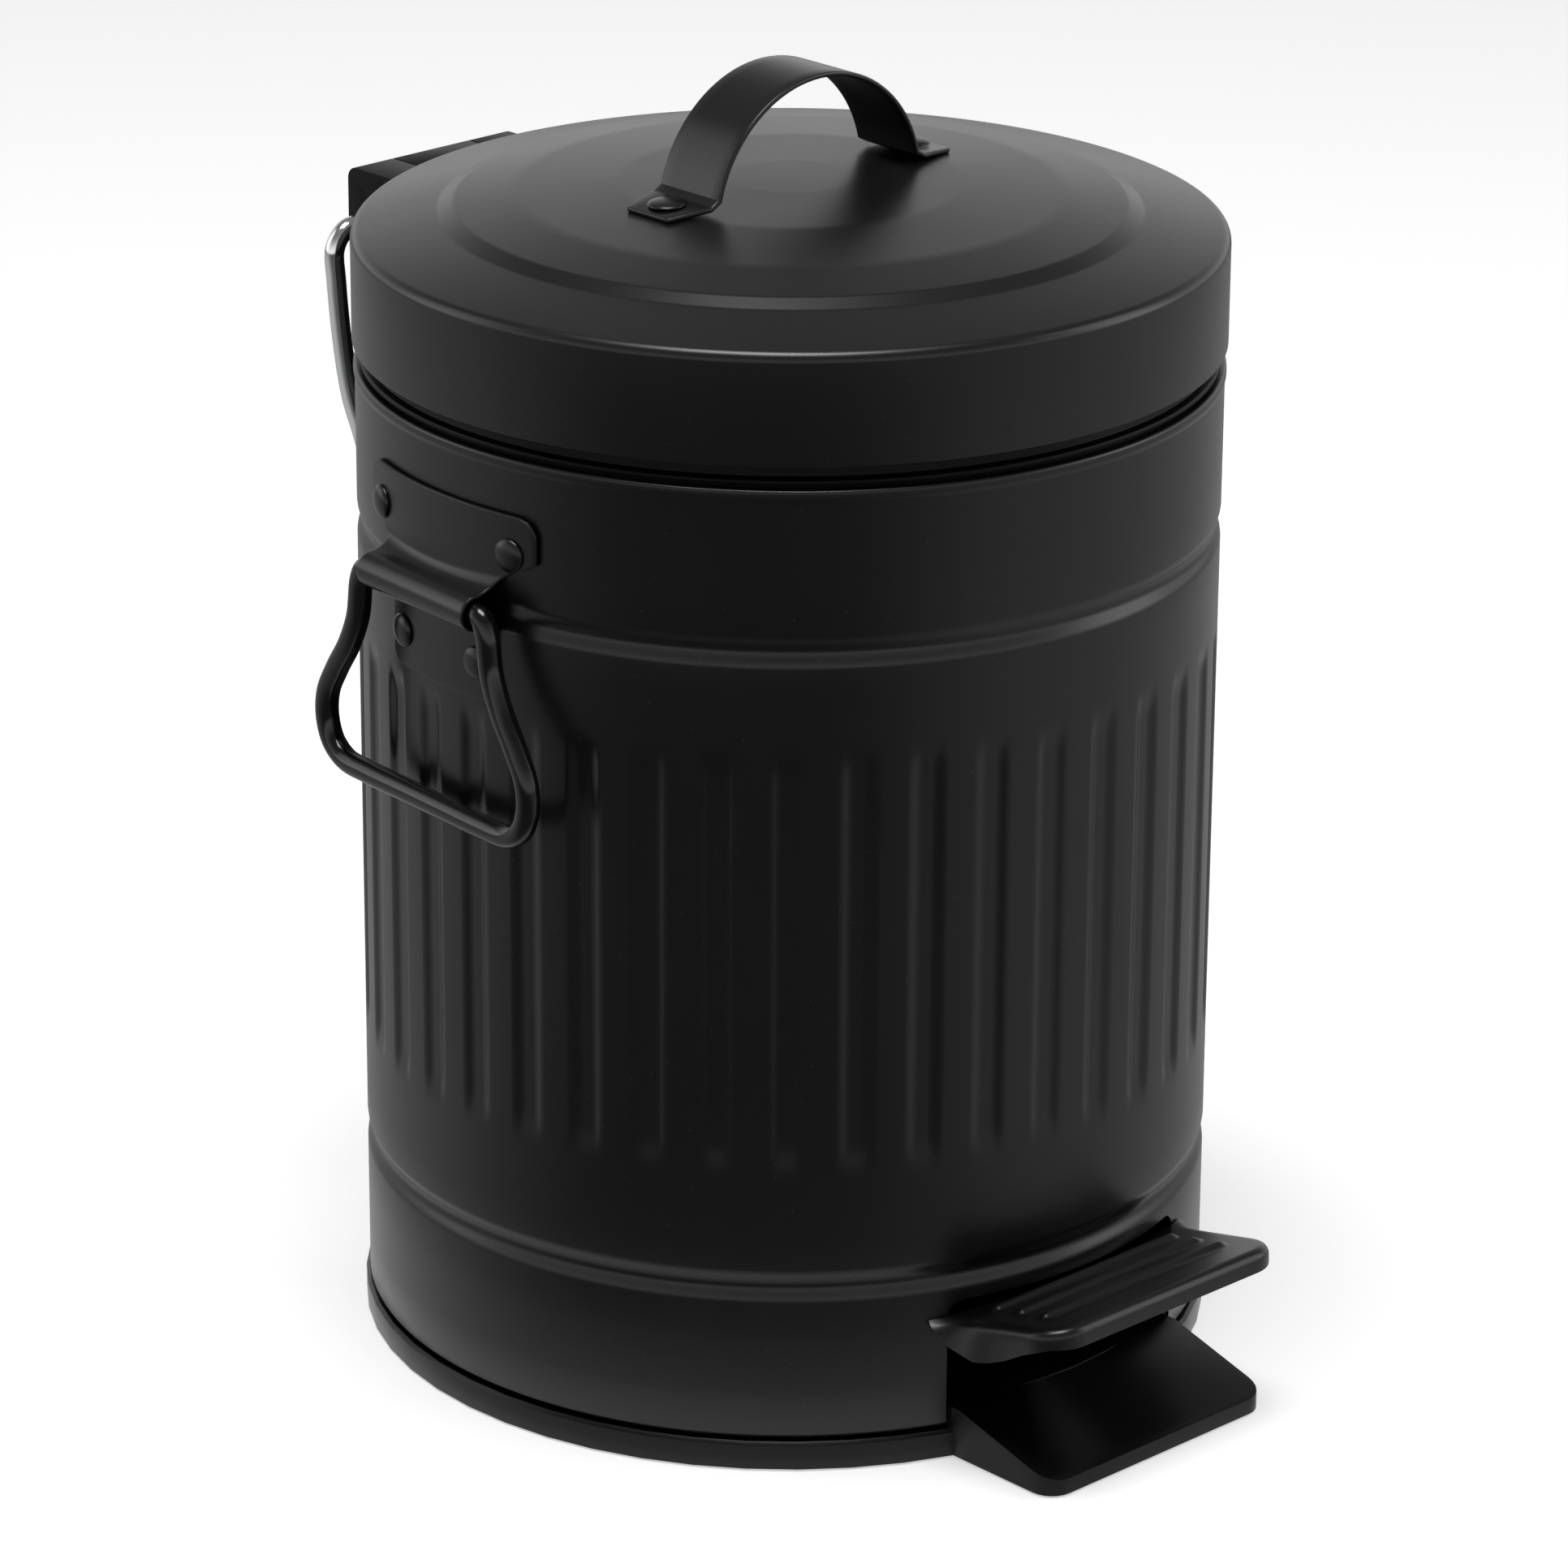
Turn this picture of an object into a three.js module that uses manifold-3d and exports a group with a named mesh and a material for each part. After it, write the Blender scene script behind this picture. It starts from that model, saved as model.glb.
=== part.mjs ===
// A five litre pedal bin in powder-coated steel, made like a small dustbin.
// Millimetres, +Z up. The origin is the middle of the base where it meets the floor.
// The pedal points along -Y, the lid hinge is at +Y and the side handles are near +X and -X.

import * as THREE from 'three';
import { mergeVertices } from 'three/addons/utils/BufferGeometryUtils.js';
import Module from 'manifold-3d';

const wasm = await Module();
wasm.setup();

// ---------- driving dimensions ----------

const BODY_R = 102;
const BODY_BOTTOM = 8.5;
const BODY_TOP = 240.5;
const SHEET = 1.5;
const BODY_SIDES = 80;
const ROUND_SIDES = 52;
const INNER_SIDES = 40;

const LOWER_BEAD_Z = 46.8;
const UPPER_BEAD_Z = 202.6;
const BEAD_HALF = 4.2;
const BEAD_DEPTH = 1.3;

const FLUTES = 40;
const FLUTE_PHASE_DEG = 1.65;
const FLUTE_BOTTOM = 74;
const FLUTE_TOP = 180;
const FLUTE_DEPTH = 0.9;
const FLUTE_MOUTH = 7.5;
const FLUTE_FLOOR = 4.6;
const FLUTE_RUNOUT = 3;

const CUTOUT_HALF = 37.6;
const CUTOUT_TOP = 40;
const CUTOUT_CORNER = 4;

const BASE_R = 103;
const BASE_FOOT_Z = 0.5;
const BASE_RING_TOP = 7.3;
const BASE_FLOOR_Z = 3;
const BASE_FLOOR_T = 2.2;
const BASE_UPSTAND_R = 99.6;
const BASE_UPSTAND_T = 1.8;
const BASE_UPSTAND_TOP = 34;

const RAMP_HALF = 36.5;
const RAMP_FRONT = -128.5;
const RAMP_BACK = -90;
const RAMP_CORNER = 6;
const RAMP_LIP_Z = 4.4;
const RAMP_BODY_Z = 12.8;
const RAMP_WALL = 2.2;

const PAD_R = 9;
const PAD_T = 2.6;
const PAD_PITCH_R = 78;

const COLLAR_FLANGE_R = 101.2;
const COLLAR_BOTTOM = 231;
const COLLAR_SKIRT_R = 99.7;
const COLLAR_WALL_R = 99.3;
const COLLAR_WALL_TOP = 247.2;
const COLLAR_SHELF_Z = 242.6;
const COLLAR_BORE_R = 88.3;

const BUCKET_FLOOR_Z = 46;
const BUCKET_BOTTOM_R = 82;
const BUCKET_TOP_R = 87.4;
const BUCKET_RIM_R = 91;
const BUCKET_RIM_Z = 247;
const BUCKET_WALL = 1.6;
const BUCKET_BAIL_Z = 251;
const BUCKET_BAIL_R = 81.5;
const BUCKET_BAIL_WIRE = 3.2;
const LUG_INNER_X = 84.4;
const LUG_OUTER_X = 88.6;

const LID_R = 102.6;
const LID_BOTTOM = 245.9;
const LID_EDGE_Z = 269.7;
const LID_EDGE_RADIUS = 2.6;
const LID_STEP_R = 81.3;
const LID_STEP_Z = 276.2;
const LID_STEP_RISE = 1.9;
const LID_CREASE_R = 64;
const LID_CREASE_Z = 280.6;
const LID_TOP_Z = 283.6;
const LID_SHEET = 0.9;

const STRAP_W = 20;
const STRAP_T = 1.2;
const STRAP_ARCH_HALF = 33;
const STRAP_ARCH_BASE_Z = 278.1;
const STRAP_TOP_Z = 310;
const STRAP_FOOT_END = 45.2;
const STRAP_RIVET_X = 39;

const HINGE_Y = 119.8;
const HINGE_Z = 252;
const KNUCKLE_R = 11.2;
const ARM_HALF = 12;
const EAR_SLOT_HALF = 12.5;
const EAR_TOP = 263.4;
const EAR_CORNER = 3;
const EAR_FRONT_R = 5.6;
const EAR_FRONT_Y = 114.8;
const HOUSING_HALF = 25;
const HOUSING_REAR = 129.5;
const HOUSING_BOTTOM = 204;
const HOUSING_SCREW_Z = [211, 225];
const HINGE_PIN_R = 2.4;
const HINGE_BORE_R = 2.8;
const HINGE_PIN_HALF = 18.6;

const ROD_Y = 94.5;
const ROD_R = 2.2;
const ROD_BOTTOM = 15.6;
const ROD_TOP = 250;
const ROD_BORE_R = 2.8;

const SIDE_PLATE_DEG = 94.5;
const PLATE_T = 1;
const PLATE_GAP = 0.35;
const UPPER_PLATE = { half: 31.6, top: 227.6, clip: 3.6 };
const LOWER_PLATE = { half: 19.4, bottom: 181.4, clip: 2.6 };
const SLEEVE_D = 106.8;
const SLEEVE_Z = 204.5;
const SLEEVE_HALF = 20.2;
const SLEEVE_R = 4.3;
const SIDE_WIRE = 5.6;
const RIVET_HEAD_R = 4;
const RIVET_SHANK_R = 1.9;
const RIVET_HOLE_R = 2.3;
const UPPER_RIVET = { deg: 13.6, z: 218.2 };
const LOWER_RIVET = { deg: 7.8, z: 190.2 };

const REAR_WIRE = 4.8;

const PEDAL_HALF = 38.2;
const PEDAL_FRONT = -131;
const PEDAL_BACK = -88;
const PEDAL_FRONT_Z = 44.2;
const PEDAL_SLOPE = 0.2156;
const PEDAL_SHEET = 1.3;
const PEDAL_CORNER = 7;
const PEDAL_TONGUE_HALF = 36.4;
const PEDAL_FLARE_HALF = 43.6;
const PEDAL_HEM = [[-138, 38.9], [-124, 37.4], [-112, 31.6], [-102, 28.2], [-84, 27]];
const PEDAL_RIB_Y = [-102.6, -110.2, -118];
const PEDAL_RIB_HALF = 31;
const PIVOT_Y = -33;
const PIVOT_Z = 20;
const AXLE_R = 2.4;
const AXLE_BORE_R = 2.8;
const LEVER_HALF = 8;
const LEVER_T = 2.4;

// ---------- materials ----------

const finish = (color, roughness, metalness) =>
  new THREE.MeshStandardMaterial({ color, roughness, metalness });

const COAT = [0x1c1c1e, 0.42, 0.25];
const GLOSS_COAT = [0x141416, 0.22, 0.35];
const PLASTIC = [0x0e0e0f, 0.38, 0];
const BUCKET_PLASTIC = [0x1a1a1c, 0.5, 0];
const CHROME = [0xd8dadc, 0.08, 1];
const ZINC = [0x9a9c9e, 0.35, 0.9];
const RUBBER = [0x0b0b0b, 0.85, 0];

// ---------- solids ----------

function signedVolume(geometry) {
  const p = geometry.attributes.position;
  const index = geometry.index;
  const a = new THREE.Vector3();
  const b = new THREE.Vector3();
  const c = new THREE.Vector3();
  let sum = 0;
  for (let i = 0; i < index.count; i += 3) {
    a.fromBufferAttribute(p, index.getX(i));
    b.fromBufferAttribute(p, index.getX(i + 1));
    c.fromBufferAttribute(p, index.getX(i + 2));
    sum += a.dot(b.cross(c)) / 6;
  }
  return sum;
}

// Welds a closed geometry, drops the slivers at lathe poles and turns its faces out.
function welded(geometry) {
  const bare = new THREE.BufferGeometry();
  bare.setAttribute('position', geometry.attributes.position.clone());
  if (geometry.index) bare.setIndex(geometry.index.clone());
  const merged = mergeVertices(bare, 1e-4);
  const source = merged.index.array;
  const kept = [];
  for (let i = 0; i < source.length; i += 3) {
    const [a, b, c] = [source[i], source[i + 1], source[i + 2]];
    if (a !== b && b !== c && c !== a) kept.push(a, b, c);
  }
  merged.setIndex(kept);
  if (signedVolume(merged) < 0) {
    const flipped = [];
    for (let i = 0; i < kept.length; i += 3) flipped.push(kept[i], kept[i + 2], kept[i + 1]);
    merged.setIndex(flipped);
  }
  return merged;
}

function solid(geometry) {
  const g = welded(geometry);
  const mesh = new wasm.Mesh({
    numProp: 3,
    vertProperties: new Float32Array(g.attributes.position.array),
    triVerts: new Uint32Array(g.index.array),
  });
  return new wasm.Manifold(mesh);
}

const cut = (first, ...rest) => rest.reduce((sum, part) => sum.subtract(part), first);

function toGeometry(manifold) {
  const mesh = manifold.getMesh();
  const geometry = new THREE.BufferGeometry();
  geometry.setAttribute('position', new THREE.BufferAttribute(mesh.vertProperties, 3));
  geometry.setIndex(new THREE.BufferAttribute(mesh.triVerts, 1));
  return geometry;
}

const model = new THREE.Group();

function add(name, part, look, parent = model) {
  const geometry = part.isBufferGeometry ? welded(part) : toGeometry(part);
  geometry.computeVertexNormals();
  const mesh = new THREE.Mesh(geometry, finish(...look));
  mesh.name = name;
  parent.add(mesh);
  return mesh;
}

// ---------- shape helpers ----------

const rad = THREE.MathUtils.degToRad;
const REARWARD = new THREE.Vector3(0, 1, 0);
const UPRIGHT = new THREE.Vector3(0, 0, 1);

// Revolves a closed outline of [radius, z] points about the Z axis.
function revolve(outline, sides, phaseDeg = 0) {
  const closed = [...outline, outline[0]].map(([r, z]) => new THREE.Vector2(r, z));
  const geometry = new THREE.LatheGeometry(closed, sides);
  geometry.rotateX(Math.PI / 2);
  geometry.rotateZ(rad(phaseDeg));
  return geometry;
}

// Revolves a profile that starts and ends on the axis.
function turned(profile, sides) {
  const geometry = new THREE.LatheGeometry(profile.map(([r, z]) => new THREE.Vector2(r, z)), sides);
  geometry.rotateX(Math.PI / 2);
  return geometry;
}

function cylinderAlong(axis, radius, from, to, sides = 12) {
  const geometry = new THREE.CylinderGeometry(radius, radius, to - from, sides);
  geometry.translate(0, (from + to) / 2, 0);
  if (axis === 'x') geometry.rotateZ(-Math.PI / 2);
  if (axis === 'z') geometry.rotateX(Math.PI / 2);
  return geometry;
}

function block(x0, x1, y0, y1, z0, z1) {
  const geometry = new THREE.BoxGeometry(x1 - x0, y1 - y0, z1 - z0);
  geometry.translate((x0 + x1) / 2, (y0 + y1) / 2, (z0 + z1) / 2);
  return geometry;
}

// An outline drawn in the Y-Z plane, extruded along X from -half to half.
function sideProfile(shape, half, curveSegments = 6) {
  const geometry = new THREE.ExtrudeGeometry(shape, { depth: 2 * half, bevelEnabled: false, curveSegments });
  geometry.translate(0, 0, -half);
  geometry.applyMatrix4(new THREE.Matrix4().makeBasis(
    new THREE.Vector3(0, 1, 0),
    new THREE.Vector3(0, 0, 1),
    new THREE.Vector3(1, 0, 0),
  ));
  return geometry;
}

// An outline drawn in the X-Z plane, extruded along Y from -half to half.
function frontProfile(shape, half, curveSegments = 6) {
  const geometry = new THREE.ExtrudeGeometry(shape, { depth: 2 * half, bevelEnabled: false, curveSegments });
  geometry.translate(0, 0, -half);
  geometry.rotateX(Math.PI / 2);
  return geometry;
}

// An outline drawn in the X-Y plane, extruded along Z.
function plan(shape, z0, z1, curveSegments = 4) {
  const geometry = new THREE.ExtrudeGeometry(shape, { depth: z1 - z0, bevelEnabled: false, curveSegments });
  geometry.translate(0, 0, z0);
  return geometry;
}

function outline(points) {
  return new THREE.Shape(points.map(([x, y]) => new THREE.Vector2(x, y)));
}

// A rectangle whose corners at low y, high y or both are rounded.
function roundedRect(x0, x1, y0, y1, lowR, highR) {
  const s = new THREE.Shape();
  s.moveTo(x0 + lowR, y0);
  s.lineTo(x1 - lowR, y0);
  if (lowR > 0) s.absarc(x1 - lowR, y0 + lowR, lowR, -Math.PI / 2, 0, false);
  s.lineTo(x1, y1 - highR);
  if (highR > 0) s.absarc(x1 - highR, y1 - highR, highR, 0, Math.PI / 2, false);
  s.lineTo(x0 + highR, y1);
  if (highR > 0) s.absarc(x0 + highR, y1 - highR, highR, Math.PI / 2, Math.PI, false);
  s.lineTo(x0, y0 + lowR);
  if (lowR > 0) s.absarc(x0 + lowR, y0 + lowR, lowR, Math.PI, 1.5 * Math.PI, false);
  return s;
}

// A round wire bent in one plane along a smooth curve through the points, with closed ends.
function wire(points, diameter, sides, steps, planeNormal) {
  const path = new THREE.CatmullRomCurve3(points.map((p) => new THREE.Vector3(...p)), false, 'centripetal');
  const positions = [];
  const faces = [];
  const across = new THREE.Vector3();
  const spot = new THREE.Vector3();
  for (let i = 0; i <= steps; i += 1) {
    const centre = path.getPoint(i / steps);
    across.crossVectors(planeNormal, path.getTangent(i / steps)).normalize();
    for (let k = 0; k < sides; k += 1) {
      const turn = (2 * Math.PI * k) / sides;
      spot.copy(centre).addScaledVector(across, (diameter / 2) * Math.cos(turn));
      spot.addScaledVector(planeNormal, (diameter / 2) * Math.sin(turn));
      positions.push(...spot.toArray());
    }
  }
  for (let i = 0; i < steps; i += 1) {
    for (let k = 0; k < sides; k += 1) {
      const a = i * sides + k;
      const b = i * sides + ((k + 1) % sides);
      faces.push(a, b, b + sides, a, b + sides, a + sides);
    }
  }
  const last = steps * sides;
  for (let k = 1; k < sides - 1; k += 1) {
    faces.push(0, k + 1, k);
    faces.push(last, last + k, last + k + 1);
  }
  const geometry = new THREE.BufferGeometry();
  geometry.setAttribute('position', new THREE.Float32BufferAttribute(positions, 3));
  geometry.setIndex(faces);
  return geometry;
}

// Points mirrored in x, so that half a bail gives the whole of it.
const mirrored = (half) => [...half, ...half.slice().reverse().map(([x, y, z]) => [-x, y, z])];

// The outer surface of the lid, as a height for each radius.
function lidTop(r) {
  const knots = [
    [0, LID_TOP_Z],
    [40, LID_TOP_Z - 0.9],
    [LID_CREASE_R, LID_CREASE_Z],
    [LID_STEP_R - 2.3, LID_STEP_Z + LID_STEP_RISE],
  ];
  for (let i = 1; i < knots.length; i += 1) {
    const [r0, z0] = knots[i - 1];
    const [r1, z1] = knots[i];
    if (r <= r1) return z0 + ((z1 - z0) * (r - r0)) / (r1 - r0);
  }
  return LID_STEP_Z;
}

// ---------- body ----------

// A sheet-metal bead: the [radius, z] points of a soft inward groove, bottom to top.
function bead(z, radius) {
  return [
    [radius, z - BEAD_HALF],
    [radius - BEAD_DEPTH, z - 0.25 * BEAD_HALF],
    [radius - BEAD_DEPTH, z + 0.25 * BEAD_HALF],
    [radius, z + BEAD_HALF],
  ];
}

// The tapered tool that presses one flat flute into one flat of the body.
function fluteTool(angle) {
  const flat = BODY_R * Math.cos(Math.PI / BODY_SIDES);
  const over = 0.5;
  const scale = (FLUTE_DEPTH + over) / FLUTE_DEPTH;
  const mouth = FLUTE_FLOOR + (FLUTE_MOUTH - FLUTE_FLOOR) * scale;
  const runout = FLUTE_RUNOUT * scale;
  const corners = [];
  const rings = [
    [flat - FLUTE_DEPTH, FLUTE_FLOOR / 2, FLUTE_BOTTOM + FLUTE_RUNOUT, FLUTE_TOP - FLUTE_RUNOUT],
    [flat + over, mouth / 2, FLUTE_BOTTOM + FLUTE_RUNOUT - runout, FLUTE_TOP - FLUTE_RUNOUT + runout],
  ];
  for (const [d, half, z0, z1] of rings) {
    corners.push([d, -half, z0], [d, half, z0], [d, half, z1], [d, -half, z1]);
  }
  const faces = [0, 2, 1, 0, 3, 2, 4, 5, 6, 4, 6, 7];
  for (let i = 0; i < 4; i += 1) {
    const j = (i + 1) % 4;
    faces.push(i, j, j + 4, i, j + 4, i + 4);
  }
  const geometry = new THREE.BufferGeometry();
  geometry.setAttribute('position', new THREE.Float32BufferAttribute(corners.flat(), 3));
  geometry.setIndex(faces);
  geometry.rotateZ(angle);
  return geometry;
}

// A straight hole through the wall at an angle from the front, counted towards +X.
function wallDrill(deg, z, radius) {
  const geometry = cylinderAlong('y', radius, -BODY_R - 12, -BODY_R + 12, 6);
  geometry.rotateZ(rad(deg));
  return geometry.translate(0, 0, z);
}

function bodyShell() {
  const inner = BODY_R - SHEET;
  const outside = [
    [BODY_R, BODY_BOTTOM],
    ...bead(LOWER_BEAD_Z, BODY_R),
    ...bead(UPPER_BEAD_Z, BODY_R),
    [BODY_R, BODY_TOP - 0.9],
    [BODY_R - 0.6, BODY_TOP],
  ];
  const insideBead = (z) => [[inner, z - BEAD_HALF], [inner - BEAD_DEPTH, z], [inner, z + BEAD_HALF]];
  const inside = [
    [inner, BODY_BOTTOM],
    ...insideBead(LOWER_BEAD_Z),
    ...insideBead(UPPER_BEAD_Z),
    [inner, BODY_TOP],
  ];
  let shell = solid(revolve([...outside, ...inside.reverse()], BODY_SIDES, FLUTE_PHASE_DEG + 180 / BODY_SIDES));
  for (let i = 0; i < FLUTES; i += 1) {
    const angle = rad(FLUTE_PHASE_DEG - 90 + (360 / FLUTES) * i);
    shell = shell.subtract(solid(fluteTool(angle)));
  }
  const doorway = roundedRect(-CUTOUT_HALF, CUTOUT_HALF, 0, CUTOUT_TOP, 0, CUTOUT_CORNER);
  const door = frontProfile(doorway, 20, 3);
  door.translate(0, -BODY_R, 0);
  shell = cut(shell, solid(door));
  for (const side of [-1, 1]) {
    for (const rivet of [UPPER_RIVET, LOWER_RIVET]) {
      for (const step of [-1, 1]) {
        const deg = side * SIDE_PLATE_DEG + step * rivet.deg;
        shell = cut(shell, solid(wallDrill(deg, rivet.z, RIVET_HOLE_R)));
      }
    }
  }
  for (const z of HOUSING_SCREW_Z) {
    shell = cut(shell, solid(wallDrill(180, z, RIVET_HOLE_R)));
  }
  return shell;
}

add('body_shell', bodyShell(), COAT);

// ---------- base with the foot ramp ----------

function rampBlock(inset, drop) {
  const half = RAMP_HALF - inset;
  const front = RAMP_FRONT + inset;
  const shape = roundedRect(-half, half, front, RAMP_BACK, Math.max(RAMP_CORNER - inset, 1), 0);
  const tall = plan(shape, inset > 0 ? -1 : BASE_FOOT_Z, RAMP_BODY_Z - drop, 3);
  const slope = outline([
    [RAMP_FRONT - 5, RAMP_LIP_Z - drop - (5 * (RAMP_BODY_Z - RAMP_LIP_Z)) / (-98 - RAMP_FRONT)],
    [-98, RAMP_BODY_Z - drop],
    [-98, RAMP_BODY_Z + 10],
    [RAMP_FRONT - 5, RAMP_BODY_Z + 10],
  ]);
  return cut(solid(tall), solid(sideProfile(slope, RAMP_HALF + 5)));
}

function baseTray() {
  const wallIn = BASE_UPSTAND_R - BASE_UPSTAND_T;
  const floorTop = BASE_FLOOR_Z + BASE_FLOOR_T;
  let tray = solid(turned([
    [0, BASE_FLOOR_Z],
    [99, BASE_FLOOR_Z],
    [100.4, BASE_FOOT_Z],
    [BASE_R, BASE_FOOT_Z],
    [BASE_R, BASE_RING_TOP - 0.8],
    [BASE_R - 0.8, BASE_RING_TOP],
    [BASE_UPSTAND_R, BASE_RING_TOP],
    [BASE_UPSTAND_R, BASE_UPSTAND_TOP],
    [wallIn, BASE_UPSTAND_TOP],
    [wallIn, floorTop],
    [0, floorTop],
  ], ROUND_SIDES));
  tray = cut(tray, solid(block(-CUTOUT_HALF, CUTOUT_HALF, -BASE_R - 5, -60, RAMP_BODY_Z, 50)));
  tray = tray.add(rampBlock(0, 0));
  const hollow = rampBlock(RAMP_WALL, RAMP_WALL);
  const keep = solid(block(-60, 60, -140, -BODY_R + 2, -5, 30));
  tray = tray.subtract(hollow.intersect(keep));
  for (const x of [-12, 12]) {
    tray = tray.add(solid(block(x - 0.9, x + 0.9, RAMP_FRONT + 1, -BODY_R + 4, BASE_FOOT_Z + 0.6, 3.2)));
  }
  // Two bearing posts carry the pedal axle.
  for (const side of [-1, 1]) {
    const post = new THREE.Shape();
    post.moveTo(PIVOT_Y - 10, floorTop - 1);
    post.lineTo(PIVOT_Y + 10, floorTop - 1);
    post.lineTo(PIVOT_Y + 7, PIVOT_Z);
    post.absarc(PIVOT_Y, PIVOT_Z, 7, 0, Math.PI, false);
    const bar = sideProfile(post, 2, 4);
    bar.translate(side * 12.5, 0, 0);
    tray = tray.add(solid(bar));
  }
  tray = cut(tray, solid(axleBore()));
  // A bridge behind the bucket guides the lift rod.
  const tower = 46;
  for (const side of [-1, 1]) {
    const x = side * 10.5;
    tray = tray.add(solid(block(x - 1, x + 1, ROD_Y - 6, wallIn + 0.6, floorTop - 1, tower)));
  }
  tray = tray.add(solid(block(-10, 10, ROD_Y - 6, wallIn - 0.2, tower - 4, tower)));
  tray = cut(tray, solid(rodBore(tower - 6, tower + 2)));
  return tray;
}

function axleBore() {
  const bore = cylinderAlong('x', AXLE_BORE_R, -17, 17, 12);
  bore.translate(0, PIVOT_Y, PIVOT_Z);
  return bore;
}

function rodBore(z0, z1) {
  const bore = cylinderAlong('z', ROD_BORE_R, z0, z1, 12);
  bore.translate(0, ROD_Y, 0);
  return bore;
}

add('base_tray', baseTray(), PLASTIC);

for (let i = 0; i < 4; i += 1) {
  const angle = rad(45 + 90 * i);
  const pad = new THREE.CylinderGeometry(PAD_R, PAD_R, PAD_T, 16);
  pad.rotateX(Math.PI / 2);
  pad.translate(PAD_PITCH_R * Math.cos(angle), PAD_PITCH_R * Math.sin(angle), PAD_T / 2);
  add(`floor_pad_${i + 1}`, pad, RUBBER);
}

// ---------- collar and bucket ----------

function topCollar() {
  const ring = solid(revolve([
    [COLLAR_SKIRT_R - 2, COLLAR_BOTTOM],
    [COLLAR_SKIRT_R, COLLAR_BOTTOM],
    [COLLAR_SKIRT_R, BODY_TOP + 0.6],
    [COLLAR_FLANGE_R, BODY_TOP + 0.8],
    [COLLAR_FLANGE_R, 245.1],
    [COLLAR_WALL_R, 245.3],
    [COLLAR_WALL_R - 0.3, COLLAR_WALL_TOP],
    [COLLAR_WALL_R - 1.8, COLLAR_WALL_TOP],
    [COLLAR_WALL_R - 2, COLLAR_SHELF_Z],
    [COLLAR_BORE_R, COLLAR_SHELF_Z],
    [COLLAR_BORE_R, COLLAR_SHELF_Z - 2.4],
    [COLLAR_SKIRT_R - 2, COLLAR_SHELF_Z - 2.6],
  ], INNER_SIDES));
  const boss = cylinderAlong('z', ROD_BORE_R + 1.6, 234, COLLAR_SHELF_Z - 0.5, 12);
  boss.translate(0, ROD_Y, 0);
  return cut(ring.add(solid(boss)), solid(rodBore(230, 250)));
}

add('top_collar', topCollar(), PLASTIC);

function innerBucket() {
  const shell = solid(turned([
    [0, BUCKET_FLOOR_Z],
    [BUCKET_BOTTOM_R - 3, BUCKET_FLOOR_Z],
    [BUCKET_BOTTOM_R, BUCKET_FLOOR_Z + 3],
    [BUCKET_TOP_R, COLLAR_SHELF_Z + 0.4],
    [BUCKET_RIM_R, COLLAR_SHELF_Z + 0.4],
    [BUCKET_RIM_R, BUCKET_RIM_Z - 0.6],
    [BUCKET_RIM_R - 0.6, BUCKET_RIM_Z],
    [BUCKET_TOP_R - BUCKET_WALL, BUCKET_RIM_Z],
    [BUCKET_BOTTOM_R - BUCKET_WALL, BUCKET_FLOOR_Z + 3.6],
    [BUCKET_BOTTOM_R - 3.6, BUCKET_FLOOR_Z + BUCKET_WALL],
    [0, BUCKET_FLOOR_Z + BUCKET_WALL],
  ], INNER_SIDES));
  let bucket = shell;
  for (const side of [-1, 1]) {
    const lugShape = new THREE.Shape();
    lugShape.moveTo(-5, BUCKET_RIM_Z - 2);
    lugShape.lineTo(5, BUCKET_RIM_Z - 2);
    lugShape.lineTo(4, BUCKET_BAIL_Z);
    lugShape.absarc(0, BUCKET_BAIL_Z, 4, 0, Math.PI, false);
    const lug = sideProfile(lugShape, (LUG_OUTER_X - LUG_INNER_X) / 2, 4);
    lug.translate((side * (LUG_INNER_X + LUG_OUTER_X)) / 2, 0, 0);
    bucket = bucket.add(solid(lug));
  }
  const bore = cylinderAlong('x', BUCKET_BAIL_WIRE / 2 + 0.35, -95, 95, 10);
  bore.translate(0, 0, BUCKET_BAIL_Z);
  return cut(bucket, solid(bore));
}

add('inner_bucket', innerBucket(), BUCKET_PLASTIC);

// The bail lies folded down on the front half of the rim.
function bucketBail() {
  const half = [
    [LUG_OUTER_X + 0.8, 0, BUCKET_BAIL_Z],
    [LUG_INNER_X + 1, 0, BUCKET_BAIL_Z],
    [BUCKET_BAIL_R + 0.6, -0.6, BUCKET_BAIL_Z],
    [BUCKET_BAIL_R, -4, BUCKET_BAIL_Z],
  ];
  for (let deg = 14; deg < 90; deg += 11) {
    half.push([BUCKET_BAIL_R * Math.cos(rad(deg)), -BUCKET_BAIL_R * Math.sin(rad(deg)), BUCKET_BAIL_Z]);
  }
  return wire(mirrored(half), BUCKET_BAIL_WIRE, 6, 34, UPRIGHT);
}

add('bucket_bail', bucketBail(), ZINC);

// ---------- lid ----------

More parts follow.
